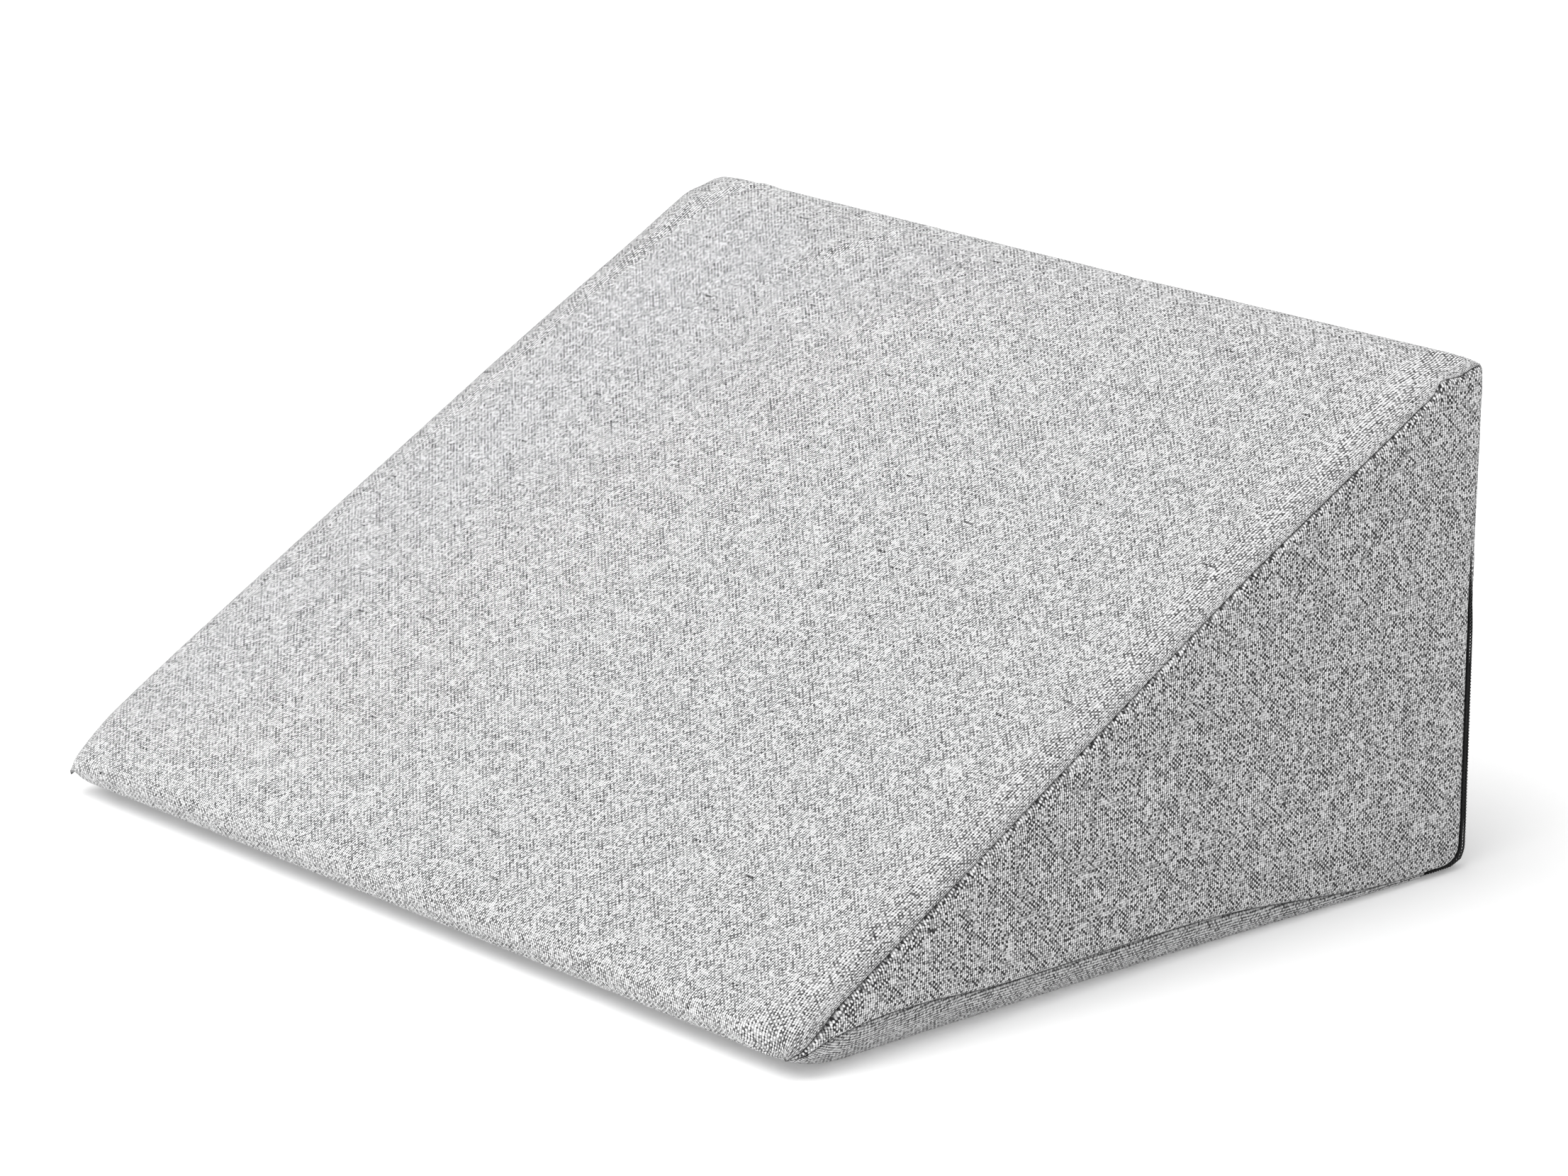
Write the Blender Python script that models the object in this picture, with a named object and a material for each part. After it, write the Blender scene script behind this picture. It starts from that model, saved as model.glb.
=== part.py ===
"""Wedge-shaped body positioning pillow: a filled cushion and the black zip of its cover.

Metres, +Z up. The origin is the middle of the footprint, on the surface the pillow
rests on. +X runs along the width, -Y is the thin front edge and +Y the tall back.
"""

from typing import NamedTuple

import bpy
import numpy as np

# Driving dimensions of the cushion
SEAM_X = 0.2495
PANEL_CROWN = 0.0025
PANEL_ROLL = 0.010
CROWN_FADE = 2.0

# Driving dimensions of the zip
ZIP_CROSSING_DEPTH = 0.166
ZIP_CORNER_RADIUS = 0.018
ZIP_EDGE_INSET = 0.0005
ZIP_LEG_TOP = 0.145
ZIP_FULL_WIDTH_HEIGHT = 0.085
ZIP_END_SHARE = 0.08
TAPE_WIDTH = 0.0018
COIL_WIDTH = 0.0030
TAPE_THICKNESS = 0.0008
COIL_THICKNESS = 0.0011
PIECE_GAP = 0.0003
CHANNEL_DEPTH = 0.0015
CHANNEL_MARGIN = 0.0033
CHANNEL_RAMP = 0.0015
SLIDER_INSET = 0.0034
SLIDER_LENGTH = 0.0110
SLIDER_WIDTH = 0.0080
SLIDER_THICKNESS = 0.0016
PULL_LENGTH = 0.0240
PULL_WIDTH = 0.0050
PULL_THICKNESS = 0.0012

# How finely the cover is divided
PROFILE_SAMPLES = 24
RIBBON_STEPS = 2
TURN_STEPS = 8
CROSSING_STEPS = 7
CORNER_RUN = 0.014
RIDGE_RUN = 0.016
NEAR_SEAM = (0.0, 0.0003, 0.0014, 0.0034, 0.0056, 0.0080, 0.0105, 0.0130, 0.0156, 0.0184,
             0.0214, 0.0248, 0.0290, 0.0350, 0.0430)
TOWARDS_MIDDLE = (0.10, 0.24, 0.40, 0.58, 0.78, 1.0)


class Row(NamedTuple):
    """One place on the cover's outline, at the side seam and at the middle of the width.

    roll is how far in from the side the cloth takes to come up from the seam, crown the
    share of that rise that is spread over the whole width, and bow how far the seam
    stands out past the plane of the corners.
    """

    seam_depth: float
    seam_height: float
    middle_depth: float
    middle_height: float
    roll: float
    crown: float = 0.0
    bow: float = 0.0


# The underside, from the tip of the front corner to the bottom of the back
UNDERSIDE = (
    Row(-0.2000, 0.0088, -0.2030, 0.0140, 0.0300),
    Row(-0.1935, 0.0100, -0.2012, 0.0094, 0.0220, bow=0.0006),
    Row(-0.1840, 0.0134, -0.1940, 0.0053, 0.0150, bow=0.0014),
    Row(-0.1700, 0.0162, -0.1822, 0.0016, 0.0120, bow=0.0020),
    Row(-0.1550, 0.0178, -0.1675, 0.0, 0.0122, bow=0.0022),
    Row(-0.1350, 0.0180, -0.1450, 0.0, 0.0125, bow=0.0022),
    Row(-0.0900, 0.0152, -0.0900, 0.0, 0.0120, bow=0.0020),
    Row(-0.0200, 0.0146, -0.0200, 0.0, 0.0100, bow=0.0010),
    Row(0.0200, 0.0142, 0.0200, 0.0, 0.0090, bow=0.0004),
    Row(0.0600, 0.0124, 0.0600, 0.0, 0.0065),
    Row(0.0900, 0.0092, 0.0900, 0.0, 0.0052),
    Row(0.1150, 0.0064, 0.1150, 0.0, 0.0045),
    Row(0.1400, 0.0038, 0.1400, 0.0, 0.0042),
    Row(0.1600, 0.0030, 0.1600, 0.0, 0.0042),
    Row(0.1790, 0.0030, 0.1830, 0.0, 0.0045),
    Row(0.1885, 0.0036, 0.1965, 0.0004, 0.0048),
    Row(0.1932, 0.0058, 0.2014, 0.0026, 0.0052),
)

# The back, from its bottom corner to the ridge
BACK = (
    UNDERSIDE[-1],
    Row(0.1950, 0.0096, 0.2028, 0.0070, 0.0055),
    Row(0.1955, 0.0160, 0.2030, 0.0140, 0.0055),
    Row(0.1958, 0.0400, 0.2030, 0.0400, 0.0055),
    Row(0.1962, 0.0900, 0.2030, 0.0900, 0.0052),
    Row(0.1972, 0.1450, 0.2030, 0.1450, 0.0050),
    Row(0.1990, 0.1800, 0.2030, 0.1800, 0.0048),
    Row(0.2002, 0.2080, 0.2030, 0.2110, 0.0055),
    Row(0.2008, 0.2205, 0.2029, 0.2242, 0.0080),
    Row(0.2006, 0.2266, 0.2022, 0.2288, 0.0150),
    Row(0.1994, 0.2290, 0.2006, 0.2310, 0.0210),
)

# The slope, from the ridge down to the tip of the front corner
SLOPE = (
    BACK[-1],
    Row(0.1954, 0.2286, 0.1966, 0.2316, 0.0240, crown=0.05),
    Row(0.1890, 0.2271, 0.1900, 0.2300, 0.0270, crown=0.10),
    Row(0.1785, 0.2250, 0.1800, 0.2270, 0.0270, crown=0.15),
    Row(0.1700, 0.2208, 0.1700, 0.2229, 0.0240, crown=0.20),
    Row(0.1500, 0.2098, 0.1490, 0.2130, 0.0200, crown=0.30),
    Row(0.1100, 0.1888, 0.1090, 0.1924, 0.0180, crown=0.35),
    Row(0.0600, 0.1622, 0.0585, 0.1668, 0.0180, crown=0.40),
    Row(0.0000, 0.1283, -0.0015, 0.1345, 0.0170, crown=0.30, bow=0.0006),
    Row(-0.0500, 0.0997, -0.0520, 0.1062, 0.0150, crown=0.20, bow=0.0014),
    Row(-0.1000, 0.0714, -0.1030, 0.0772, 0.0140, crown=0.15, bow=0.0020),
    Row(-0.1400, 0.0485, -0.1440, 0.0540, 0.0140, crown=0.10, bow=0.0022),
    Row(-0.1630, 0.0352, -0.1685, 0.0396, 0.0160, crown=0.05, bow=0.0022),
    Row(-0.1770, 0.0265, -0.1850, 0.0300, 0.0200, bow=0.0018),
    Row(-0.1860, 0.0188, -0.1960, 0.0234, 0.0250, bow=0.0012),
    Row(-0.1940, 0.0128, -0.2018, 0.0186, 0.0290, bow=0.0006),
    UNDERSIDE[0],
)


def curve_through(rows):
    """Return dense rows on a smooth curve through the given rows.

    Each stretch is a cubic whose slope at a row is the mean of the slopes to its two
    neighbours, weighted by distance. The end rows take the slope of their own stretch.
    """
    table = np.array(rows)
    steps = np.hypot(np.diff(table[:, 2]), np.diff(table[:, 3]))
    knots = np.concatenate([[0.0], np.cumsum(steps)])
    rise = np.diff(table, axis=0) / steps[:, None]
    slopes = np.empty_like(table)
    slopes[0] = rise[0]
    slopes[-1] = rise[-1]
    before = steps[:-1, None]
    after = steps[1:, None]
    slopes[1:-1] = (rise[:-1] * after + rise[1:] * before) / (before + after)
    part = np.linspace(0.0, 1.0, PROFILE_SAMPLES, endpoint=False)[None, :, None]
    low, high = table[:-1, None, :], table[1:, None, :]
    low_slope, high_slope = slopes[:-1, None, :], slopes[1:, None, :]
    span = steps[:, None, None]
    curve = (
        low * (1.0 + 2.0 * part) * (1.0 - part) ** 2
        + low_slope * span * part * (1.0 - part) ** 2
        + high * part**2 * (3.0 - 2.0 * part)
        + high_slope * span * part**2 * (part - 1.0)
    )
    return curve.reshape(-1, table.shape[1])


def quarter_length(width, height):
    """Return the length of a quarter of an ellipse with these two half axes."""
    spread = np.sqrt((3.0 * width + height) * (width + 3.0 * height))
    return np.pi / 4.0 * (3.0 * (width + height) - spread)


class Cover:
    """The closed outline of the cushion and the cloth that is wrapped around it."""

    def __init__(self):
        runs = [curve_through(rows) for rows in (UNDERSIDE, BACK, SLOPE)]
        table = np.vstack(runs + [runs[0][:1]])
        table[:, 3] = np.maximum(table[:, 3], 0.0)
        steps = np.hypot(np.diff(table[:, 2]), np.diff(table[:, 3]))
        self.along = np.concatenate([[0.0], np.cumsum(steps)])
        self.table = table
        self.length = self.along[-1]
        self.back_start = self.along[len(runs[0])]
        self.ridge = self.along[len(runs[0]) + len(runs[1])]

    def row(self, along):
        """Return the outline's row at these distances along the outline."""
        return Row(*(np.interp(along, self.along, column) for column in self.table.T))

    def roll_length(self, along):
        """Return how much cloth lies on the rounding beside the seam."""
        place = self.row(along)
        over = place.middle_depth - place.seam_depth
        rise = np.hypot(over, place.middle_height - place.seam_height)
        return quarter_length(place.roll, rise)

    def half_width(self, along):
        """Return the length of cloth from the seam to the middle of the width."""
        place = self.row(along)
        return self.roll_length(along) + SEAM_X + place.bow - place.roll

    def surface(self, along, inward, side):
        """Return points of the cloth.

        along is the distance along the outline, inward the distance walked on the cloth
        from the side seam, and side is 1 on the right and -1 on the left. Beside the seam
        the cloth follows a quarter of an ellipse, and past it the width runs straight.
        """
        place = self.row(along)
        turned = self.roll_length(along)
        angle = np.minimum(inward / turned, 1.0) * np.pi / 2.0
        past = np.maximum(inward - turned, 0.0)
        x = SEAM_X + place.bow - place.roll * (1.0 - np.cos(angle)) - past
        rise = np.sin(angle) * (1.0 - place.crown * np.abs(x / SEAM_X) ** CROWN_FADE)
        y = place.seam_depth + (place.middle_depth - place.seam_depth) * rise
        z = place.seam_height + (place.middle_height - place.seam_height) * rise
        return np.stack(np.broadcast_arrays(side * x, y, z), axis=-1)

    def outward(self, along, inward, side):
        """Return unit vectors that point out of the cloth at these places."""
        step = 0.0004
        inner = np.maximum(inward, 2.0 * step)
        over = self.surface(along + step, inner, side) - self.surface(along - step, inner, side)
        across = self.surface(along, inner + step, side) - self.surface(along, inner - step, side)
        normal = np.cross(across, over) * np.sign(side)
        return normal / np.linalg.norm(normal, axis=-1, keepdims=True)


def zip_span(cover):
    """Return where the zip's outer edge crosses the underside and where its legs end."""
    places = np.linspace(0.0, cover.ridge, 4000)
    rows = cover.row(places)
    underside = places < cover.back_start
    crossing = np.interp(ZIP_CROSSING_DEPTH, rows.middle_depth[underside], places[underside])
    top = np.interp(ZIP_LEG_TOP, rows.middle_height[~underside], places[~underside])
    full = np.interp(ZIP_FULL_WIDTH_HEIGHT, rows.middle_height[~underside], places[~underside])
    return crossing, top, full


def zip_share(along, span):
    """Return the share of the zip's full width that shows at these places."""
    _, top, full = span
    part = np.clip((top - along) / (top - full), 0.0, 1.0)
    return ZIP_END_SHARE + (1.0 - ZIP_END_SHARE) * part


def zip_width():
    """Return the full width of the zip that shows between the two edges of cloth."""
    return 2.0 * TAPE_WIDTH + COIL_WIDTH + 2.0 * PIECE_GAP


def channel(along, inward, span):
    """Return how deep the zip's channel is at these places on the cloth."""
    crossing, top, _ = span
    past = along - crossing
    beside = inward - ZIP_EDGE_INSET
    radius = ZIP_CORNER_RADIUS
    rounded = radius - np.hypot(np.maximum(radius - past, 0.0), np.maximum(radius - beside, 0.0))
    inside = np.where((past < radius) | (beside < radius), rounded, np.minimum(past, beside))
    width = zip_width() * zip_share(along, span)
    outside = np.maximum(-inside, inside - width) - CHANNEL_MARGIN
    ends = np.clip((top + CHANNEL_MARGIN - along) / CHANNEL_RAMP, 0.0, 1.0)
    depth = np.clip(1.0 - outside / CHANNEL_RAMP, 0.0, 1.0) * ends
    return CHANNEL_DEPTH * depth * np.clip(inward / NEAR_SEAM[1], 0.0, 1.0)


def divide(stops):
    """Return places from (end, steps) stops, each stretch divided evenly."""
    places = [np.array([stops[0][0]])]
    for (start, _), (end, steps) in zip(stops[:-1], stops[1:]):
        places.append(np.linspace(start, end, steps + 1)[1:])
    return np.concatenate(places)


def outline_places(cover, span):
    """Return the distances along the outline at which the cloth is divided.

    The underside and the slope have as many steps as each other, so that the side panel
    between them is an even grid.
    """
    crossing, top, full = span
    underside = divide([
        (0.0, 0), (0.012, 4), (0.040, 5), (crossing - 0.110, 9), (crossing - 0.008, 4),
        (crossing + 0.018, 8), (cover.back_start - 0.010, 1), (cover.back_start, 3),
    ])
    back = divide([
        (cover.back_start, 0), (cover.back_start + CORNER_RUN, 4), (full, 3),
        (top + CHANNEL_MARGIN - CHANNEL_RAMP, 6), (top + CHANNEL_MARGIN, 1),
        (cover.ridge - RIDGE_RUN, 4), (cover.ridge, 4),
    ])
    slope = divide([
        (cover.ridge, 0), (cover.ridge + 0.032, 6), (cover.length - 0.090, 15),
        (cover.length - 0.030, 6), (cover.length, 7),
    ])
    return underside, back, slope


def cloth_grid(cover, span, places):
    """Return the wrapped cloth's points, by place along the outline and across the width."""
    places = places[:, None]
    near = np.array(NEAR_SEAM)[None, :]
    reach = cover.half_width(places)
    further = near[:, -1:] + np.array(TOWARDS_MIDDLE)[None, :] * (reach - near[:, -1:])
    inward = np.hstack([np.broadcast_to(near, (len(places), near.shape[1])), further])
    halves = []
    for side in (1.0, -1.0):
        points = cover.surface(places, inward, side)
        normals = cover.outward(places, inward, side)
        halves.append(points - normals * channel(places, inward, span)[..., None])
    right, left = halves
    middle = 0.5 * (right[:, -1:] + left[:, -1:])
    return np.concatenate([right[:, :-1], middle, left[:, :-1][:, ::-1]], axis=1)


def rounded(distance):
    """Return 0 to 1 along a quarter circle, reaching 1 at the panel's roll."""
    part = np.clip(distance / PANEL_ROLL, 0.0, 1.0)
    return np.sqrt(1.0 - (1.0 - part) ** 2)


def panel_grid(bottom, back, top):
    """Return a side panel's points between its three seams.

    Rows run from the front tip to the back, columns from the bottom seam to the top one.
    The panel bulges outwards from the seams by a rounded step.
    """
    along = np.linspace(0.0, 1.0, len(bottom))[:, None, None]
    steps = np.concatenate([[0.0], np.cumsum(np.linalg.norm(np.diff(back, axis=0), axis=1))])
    up = (steps / steps[-1])[None, :, None]
    chord = back[0] + (back[-1] - back[0]) * up
    flat = bottom[:, None] * (1.0 - up) + top[:, None] * up + along**6 * (back[None] - chord)
    from_bottom = np.linalg.norm(flat - bottom[:, None], axis=-1)
    from_top = np.linalg.norm(flat - top[:, None], axis=-1)
    from_back = np.linalg.norm(flat - back[None], axis=-1)
    bulge = rounded(from_bottom) * rounded(from_top) * rounded(from_back)
    flat[..., 0] += np.sign(flat[..., 0]) * PANEL_CROWN * bulge
    return flat


def grid_quads(index):
    """Return the four corners of each cell of a grid of point numbers."""
    low, high = index[:-1], index[1:]
    return np.stack([low[:, :-1], high[:, :-1], high[:, 1:], low[:, 1:]], axis=-1).reshape(-1, 4)


def make_object(name, points, faces, finish, smooth=False):
    """Make a mesh object from points and faces, leaving out faces with no area."""
    mesh = bpy.data.meshes.new(name)
    clean = []
    for face in faces:
        corners = list(dict.fromkeys(int(corner) for corner in face))
        if len(corners) > 2:
            clean.append(corners)
    mesh.from_pydata([tuple(point) for point in points], [], clean)
    mesh.update()
    if smooth:
        mesh.shade_smooth()
        mesh.set_sharp_from_angle(angle=np.radians(50.0))
    mesh.materials.append(finish)
    made = bpy.data.objects.new(name, mesh)
    bpy.context.collection.objects.link(made)
    return made


def make_cushion(cover, span, finish):
    """Build the filled cushion: the wrapped cloth closed by its two side panels."""
    underside, back, slope = outline_places(cover, span)
    places = np.concatenate([underside, back[1:], slope[1:-1]])
    cloth = cloth_grid(cover, span, places)
    rows, columns = cloth.shape[:2]
    index = np.arange(rows * columns).reshape(rows, columns)
    around = np.vstack([index, index[:1]])
    points = [cloth.reshape(-1, 3)]
    faces = [grid_quads(around)[:, ::-1]]
    count = rows * columns
    lower, upper = len(underside), len(underside) + len(back) - 1
    for column, flip in ((0, False), (columns - 1, True)):
        loop = around[:, column]
        bottom, rear, top = loop[:lower], loop[lower - 1:upper], loop[upper - 1:][::-1]
        corners = np.vstack(points)
        panel = panel_grid(corners[bottom], corners[rear], corners[top])
        inner = panel[1:-1, 1:-1]
        grid = np.empty(panel.shape[:2], dtype=int)
        grid[:, 0], grid[:, -1] = bottom, top
        grid[0, :], grid[-1, :] = bottom[0], rear
        grid[1:-1, 1:-1] = np.arange(inner[..., 0].size).reshape(inner.shape[:2]) + count
        count += inner[..., 0].size
        points.append(inner.reshape(-1, 3))
        quads = grid_quads(grid)
        faces.append(quads[:, ::-1] if flip else quads)
    return make_object("cushion", np.vstack(points), np.vstack(faces), finish, smooth=True)


def zip_route(cover, span):
    """Return one half of the zip's route on the flat cloth.

    A leg comes down the back corner as places along the outline, and then turns through a
    quarter circle whose centre line is at the last place, to cross the underside.
    """
    crossing, top, full = span
    bend = crossing + ZIP_CORNER_RADIUS
    leg = divide([(top, 0), (full, 6), (cover.back_start + CORNER_RUN, 2), (bend, 12)])
    turn = np.linspace(0.0, np.pi / 2.0, TURN_STEPS + 1)[1:]
    return leg, turn, bend


def ribbon(cover, span, low, high, base, thickness):
    """Return the cross-sections of a closed ribbon that follows the zip's route.

    low and high are functions of the share of width that shows, and give the ribbon's two
    edges as distances from the zip's outer edge. base is the height of its inner face
    above the cloth, and thickness is how thick it is. Each section runs out over the inner
    face and back over the outer one, in RIBBON_STEPS steps each way.
    """
    leg, turn, bend = zip_route(cover, span)
    radius = ZIP_CORNER_RADIUS
    share = zip_share(leg, span)
    sides = []
    for side in (1.0, -1.0):
        inner_face, outer_face = [], []
        for part in np.linspace(0.0, 1.0, RIBBON_STEPS + 1):
            offset = low(share) + part * (high(share) - low(share))
            straight = np.stack([leg, ZIP_EDGE_INSET + offset])
            reach = radius - (low(1.0) + part * (high(1.0) - low(1.0)))
            curved = np.stack([
                bend - reach * np.sin(turn),
                ZIP_EDGE_INSET + radius - reach * np.cos(turn),
            ])
            crossing = bend - reach
            middle = cover.half_width(np.array([crossing]))[0]
            run = np.linspace(ZIP_EDGE_INSET + radius, middle, CROSSING_STEPS + 1)[1:]
            level = np.stack([np.full_like(run, crossing), run])
            along, inward = np.hstack([straight, curved, level])
            points = cover.surface(along, inward, side)
            normals = cover.outward(along, inward, side)
            inner_face.append(points + normals * base)
            outer_face.append(points + normals * (base + thickness))
        sides.append(np.stack(outer_face + inner_face[::-1], axis=1))
    right, left = sides
    return np.concatenate([right, left[:-1][::-1]], axis=0)


def make_ribbon(name, sections, finish):
    """Build a solid from closed cross-sections along a route."""
    count, corners = sections.shape[:2]
    index = np.arange(count * corners).reshape(count, corners)
    ring = np.hstack([index, index[:, :1]])
    faces = grid_quads(ring).tolist() + [index[0].tolist(), index[-1, ::-1].tolist()]
    return make_object(name, sections.reshape(-1, 3), faces, finish)


def zip_edges():
    """Return, for each strip of the zip, its two edges as functions of the share that shows."""
    def outer_end(share):
        return TAPE_WIDTH * share

    def coil_start(share):
        return outer_end(share) + PIECE_GAP

    def coil_end(share):
        return coil_start(share) + COIL_WIDTH * share

    def inner_start(share):
        return coil_end(share) + PIECE_GAP

    def inner_end(share):
        return inner_start(share) + TAPE_WIDTH * share

    def start(share):
        return 0.0 * share

    return (start, outer_end), (coil_start, coil_end), (inner_start, inner_end)


def make_zip(cover, span, tape_finish, coil_finish):
    """Build the two tapes of the zip and the coil between them."""
    outer, coil, inner = zip_edges()
    base = PIECE_GAP - CHANNEL_DEPTH
    for name, edges in (("zip_tape_side", outer), ("zip_tape_back", inner)):
        make_ribbon(name, ribbon(cover, span, *edges, base, TAPE_THICKNESS), tape_finish)
    make_ribbon("zip_coil", ribbon(cover, span, *coil, base, COIL_THICKNESS), coil_finish)


def block(centre, length_axis, width_axis, sizes):
    """Return the eight corners of a block, lower face first."""
    up = np.cross(length_axis, width_axis)
    corners = []
    for height in (0.0, sizes[2]):
        for length, width in ((-0.5, -0.5), (0.5, -0.5), (0.5, 0.5), (-0.5, 0.5)):
            shift = length_axis * sizes[0] * length + width_axis * sizes[1] * width
            corners.append(centre + shift + up * height)
    return np.array(corners)


def make_plate(name, corners, finish, rounding):
    """Build a plate with rounded edges from the eight corners of a block."""
    faces = [(3, 2, 1, 0), (4, 5, 6, 7), (0, 1, 5, 4), (1, 2, 6, 5), (2, 3, 7, 6), (3, 0, 4, 7)]
    made = make_object(name, corners, faces, finish)
    bevel = made.modifiers.new("rounding", "BEVEL")
    bevel.width = rounding
    bevel.segments = 2
    bevel.limit_method = "NONE"
    return made


def make_slider(cover, span, finish):
    """Build the slider at the top of the left leg and the plain pull that hangs from it."""
    _, top, _ = span
    inward = np.array([SLIDER_INSET])
    along = np.array([top - SLIDER_LENGTH])
    spot = cover.surface(along, inward, -1.0)[0]
    out = cover.outward(along, inward, -1.0)[0]
    up = np.array([0.0, 0.0, 1.0])
    across = np.cross(out, up)
    across /= np.linalg.norm(across)
    up = np.cross(across, out)
    seat = PIECE_GAP - CHANNEL_DEPTH + COIL_THICKNESS + 2.0 * PIECE_GAP
    body = block(spot + out * seat, up, across, (SLIDER_LENGTH, SLIDER_WIDTH, SLIDER_THICKNESS))
    make_plate("zip_slider", body, finish, 0.0005)
    hang = spot - up * (PULL_LENGTH - SLIDER_LENGTH) * 0.5
    hang = hang + out * (seat + SLIDER_THICKNESS + PIECE_GAP)
    pull = block(hang, up, across, (PULL_LENGTH, PULL_WIDTH, PULL_THICKNESS))
    make_plate("zip_pull", pull, finish, 0.0004)


def make_finish(name, colour, roughness, metallic):
    """Return a plain material with this colour, roughness and metallic value."""
    finish = bpy.data.materials.new(name)
    finish.use_nodes = True
    shader = finish.node_tree.nodes["Principled BSDF"]
    shader.inputs["Base Color"].default_value = (*colour, 1.0)
    shader.inputs["Roughness"].default_value = roughness
    shader.inputs["Metallic"].default_value = metallic
    return finish


def main():
    """Clear the scene and build the pillow."""
    for existing in list(bpy.data.objects):
        bpy.data.objects.remove(existing)
    cloth = make_finish("grey_melange_cloth", (0.62, 0.62, 0.63), 0.9, 0.0)
    tape = make_finish("black_tape", (0.012, 0.012, 0.013), 0.75, 0.0)
    coil = make_finish("black_coil", (0.02, 0.02, 0.022), 0.4, 0.0)
    metal = make_finish("dark_slider", (0.03, 0.03, 0.033), 0.35, 0.9)
    cover = Cover()
    span = zip_span(cover)
    make_cushion(cover, span, cloth)
    make_zip(cover, span, tape, coil)
    make_slider(cover, span, metal)


main()
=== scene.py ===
"""Looks of the wedge-shaped body positioning pillow: its sewn melange cover and black zip."""

import logging
import math
from dataclasses import dataclass, field
from enum import Enum
from typing import NamedTuple, Optional, Sequence, Union

import bpy
import numpy as np
from mathutils import Matrix, Vector


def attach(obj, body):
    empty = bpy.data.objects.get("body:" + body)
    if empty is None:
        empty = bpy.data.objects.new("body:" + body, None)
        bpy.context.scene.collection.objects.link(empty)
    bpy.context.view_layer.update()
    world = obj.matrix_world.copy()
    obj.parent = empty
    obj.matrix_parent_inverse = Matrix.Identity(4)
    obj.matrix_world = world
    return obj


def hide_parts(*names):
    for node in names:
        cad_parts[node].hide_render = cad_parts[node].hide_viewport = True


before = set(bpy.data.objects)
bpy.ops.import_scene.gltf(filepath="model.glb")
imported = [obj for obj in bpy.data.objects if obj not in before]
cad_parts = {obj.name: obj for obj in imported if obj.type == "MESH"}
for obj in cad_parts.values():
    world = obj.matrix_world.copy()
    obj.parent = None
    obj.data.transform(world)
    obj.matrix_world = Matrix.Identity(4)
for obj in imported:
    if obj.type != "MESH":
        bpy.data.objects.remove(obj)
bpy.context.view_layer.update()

LOG = logging.getLogger("pillow")
Array = np.ndarray
Socket = bpy.types.NodeSocket
Colour = tuple[float, float, float]

# Where the side panels' cloth coordinates start, and what lies past all of the wrap's
SIDE_PLACE = (1.0, 2.0)
SIDE_FROM = 1.5


class Row(NamedTuple):
    """One place on the cover's outline, at the side seam and at the middle of the width.

    roll is how far in from the side the cloth takes to come up from the seam, crown the
    share of that rise that is spread over the whole width, and bow how far the seam
    stands out past the plane of the corners.
    """

    seam_depth: float
    seam_height: float
    middle_depth: float
    middle_height: float
    roll: float
    crown: float = 0.0
    bow: float = 0.0


class Panel(Enum):
    """The cut pieces of cloth that the cover is sewn from."""

    WRAP = "wrap"
    RIGHT = "right"
    LEFT = "left"


# The underside, from the tip of the front corner to the bottom of the back
UNDERSIDE = (
    Row(-0.2000, 0.0088, -0.2030, 0.0140, 0.0300),
    Row(-0.1935, 0.0100, -0.2012, 0.0094, 0.0220, bow=0.0006),
    Row(-0.1840, 0.0134, -0.1940, 0.0053, 0.0150, bow=0.0014),
    Row(-0.1700, 0.0162, -0.1822, 0.0016, 0.0120, bow=0.0020),
    Row(-0.1550, 0.0178, -0.1675, 0.0, 0.0122, bow=0.0022),
    Row(-0.1350, 0.0180, -0.1450, 0.0, 0.0125, bow=0.0022),
    Row(-0.0900, 0.0152, -0.0900, 0.0, 0.0120, bow=0.0020),
    Row(-0.0200, 0.0146, -0.0200, 0.0, 0.0100, bow=0.0010),
    Row(0.0200, 0.0142, 0.0200, 0.0, 0.0090, bow=0.0004),
    Row(0.0600, 0.0124, 0.0600, 0.0, 0.0065),
    Row(0.0900, 0.0092, 0.0900, 0.0, 0.0052),
    Row(0.1150, 0.0064, 0.1150, 0.0, 0.0045),
    Row(0.1400, 0.0038, 0.1400, 0.0, 0.0042),
    Row(0.1600, 0.0030, 0.1600, 0.0, 0.0042),
    Row(0.1790, 0.0030, 0.1830, 0.0, 0.0045),
    Row(0.1885, 0.0036, 0.1965, 0.0004, 0.0048),
    Row(0.1932, 0.0058, 0.2014, 0.0026, 0.0052),
)

# The back, from its bottom corner to the ridge
BACK = (
    UNDERSIDE[-1],
    Row(0.1950, 0.0096, 0.2028, 0.0070, 0.0055),
    Row(0.1955, 0.0160, 0.2030, 0.0140, 0.0055),
    Row(0.1958, 0.0400, 0.2030, 0.0400, 0.0055),
    Row(0.1962, 0.0900, 0.2030, 0.0900, 0.0052),
    Row(0.1972, 0.1450, 0.2030, 0.1450, 0.0050),
    Row(0.1990, 0.1800, 0.2030, 0.1800, 0.0048),
    Row(0.2002, 0.2080, 0.2030, 0.2110, 0.0055),
    Row(0.2008, 0.2205, 0.2029, 0.2242, 0.0080),
    Row(0.2006, 0.2266, 0.2022, 0.2288, 0.0150),
    Row(0.1994, 0.2290, 0.2006, 0.2310, 0.0210),
)

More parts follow.
